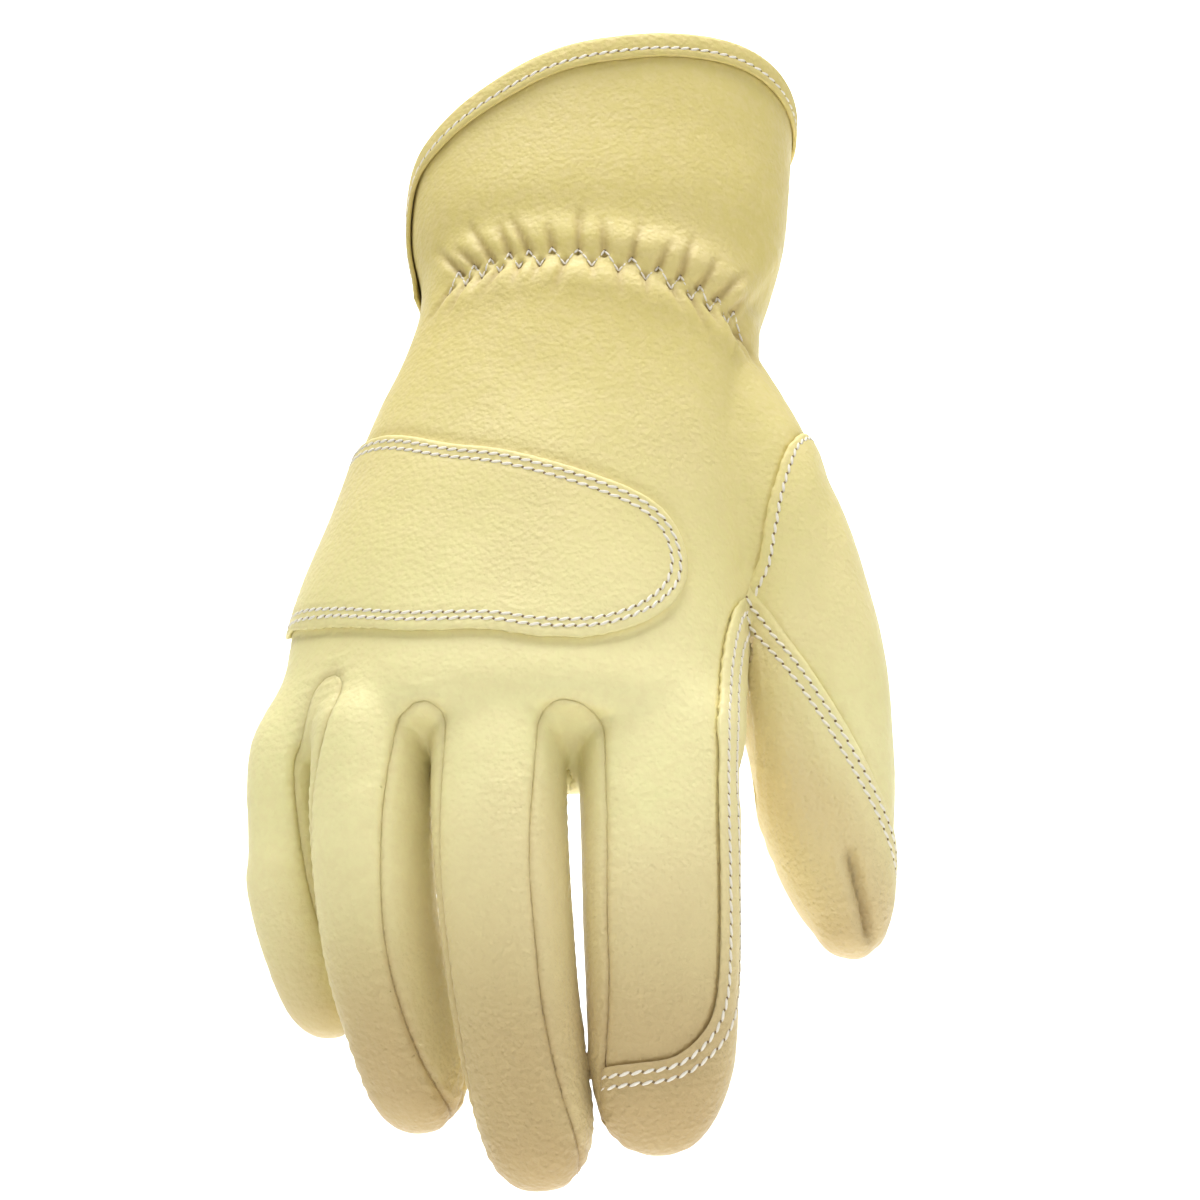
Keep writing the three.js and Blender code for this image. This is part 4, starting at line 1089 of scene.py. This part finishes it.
turns = [(x, elastic_z(x) + up) for x, up in sorted(turns)]
for (x, z), (next_x, next_z) in zip(turns, turns[1:]):
    shares = [number / LEG_STITCHES for number in range(LEG_STITCHES + 1)]
    leg = [on_back_panel(x + (next_x - x) * share, z + (next_z - z) * share) for share in shares]
    for (start, out), (end, _) in zip(leg, leg[1:]):
        stitch(bm, start, end, out, slant=ZIGZAG_SLANT, radius=ZIGZAG_RADIUS)
    needle_hole(bm, *leg[0])
finish_threads(bm, "zigzag_stitches")

# The cuff's binding. A strip of the same leather, folded over the raw edge of the cuff all the way round and
# down both sides of the notch, and held by one row of stitches through both of its sides.
BINDING_WIDTH, BINDING_LEATHER, BINDING_ROW, ROW_DEPTH = 5.0, 0.9, 3.2, 0.22
FOLD_MIDDLE, FOLD_HALF, FOLD_SLACK, LIP = -0.65, 0.65, 0.3, 0.75
whole_skin = form.copy()
for vert, place, out, sink in zip(whole_skin.verts, skin, normals, shared):
    vert.co = Vector(place + out * sink)
whole_skin.normal_update()
rim = max(rows_on(whole_skin, "cuff", 0.4), key=len)
rim = evenly(rim, 1.5, closed=True, times=30)[:-1]


def folded_side(thickness, sign):
    """One face of the folded strip, from its lower edge to the top of its fold, as places (out, down)."""
    radius = FOLD_HALF + thickness
    bend = [(sign * radius * math.cos(a), 0.2 - radius * math.sin(a)) for a in np.linspace(0, math.pi / 2, 6)]
    downs = (BINDING_WIDTH, BINDING_ROW + 0.6, BINDING_ROW, BINDING_ROW - 0.6, 1.5)
    straight_part = [(sign * radius, down) for down in downs]
    return [(FOLD_MIDDLE + out, down) for out, down in straight_part + bend]


near, far = FOLD_SLACK, FOLD_SLACK + BINDING_LEATHER
outer_face = folded_side(far, 1) + folded_side(far, -1)[-2::-1]
inner_face = folded_side(near, -1) + folded_side(near, 1)[-2::-1]
inside_edge = [(FOLD_MIDDLE - FOLD_HALF - LIP, BINDING_WIDTH + 0.25)]
outside_edge = [(FOLD_MIDDLE + FOLD_HALF + LIP, BINDING_WIDTH + 0.25)]
section = outer_face + inside_edge + inner_face + outside_edge
bm = bmesh.new()
loops, binding_row = [], []
for number, (place, out) in enumerate(rim):
    along = (rim[(number + 1) % len(rim)][0] - rim[number - 1][0]).normalized()
    down = along.cross(out).normalized()
    down = -down if down.z > 0 else down
    circle = bmesh.ops.create_circle(bm, cap_ends=False, segments=len(section), radius=1)["verts"]
    for vert, (aside, below) in zip(circle, section):
        sink = math.copysign(ROW_DEPTH, aside) if below == BINDING_ROW else 0
        vert.co = place + out * (aside - sink) + down * below
    loops.append({edge for vert in circle for edge in vert.link_edges})
    binding_row.append((place + out * (FOLD_MIDDLE + FOLD_HALF + far - 0.15) + down * BINDING_ROW, out))
for near_loop, far_loop in zip(loops, loops[1:] + loops[:1]):
    bmesh.ops.bridge_loops(bm, edges=list(near_loop | far_loop))
bmesh.ops.recalc_face_normals(bm, faces=bm.faces)
bmesh.ops.scale(bm, vec=(MILLIMETRE,) * 3, verts=bm.verts)
data = bpy.data.meshes.new("cuff_binding")
bm.to_mesh(data)
bm.free()
data.shade_smooth()
data.materials.append(
    leather("goatskin_binding", GRAIN_PALE, BINDING_WARM, GRAIN_WARM, GRAIN_SUNNED, 1.6, 0.62)
)
binding = bpy.data.objects.new("cuff_binding_leather", data)
bpy.context.scene.collection.objects.link(binding)
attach(binding, "root")
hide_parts("cuff_binding")
bm = bmesh.new()
row = evenly(binding_row, STITCH_LENGTH, closed=True)
for (start, out), (end, _) in zip(row, row[1:]):
    stitch(bm, start, end, out)
    needle_hole(bm, start, out)
finish_threads(bm, "binding_stitches")
bpy.data.meshes.remove(stitch_bead)
bpy.data.meshes.remove(hole_bead)
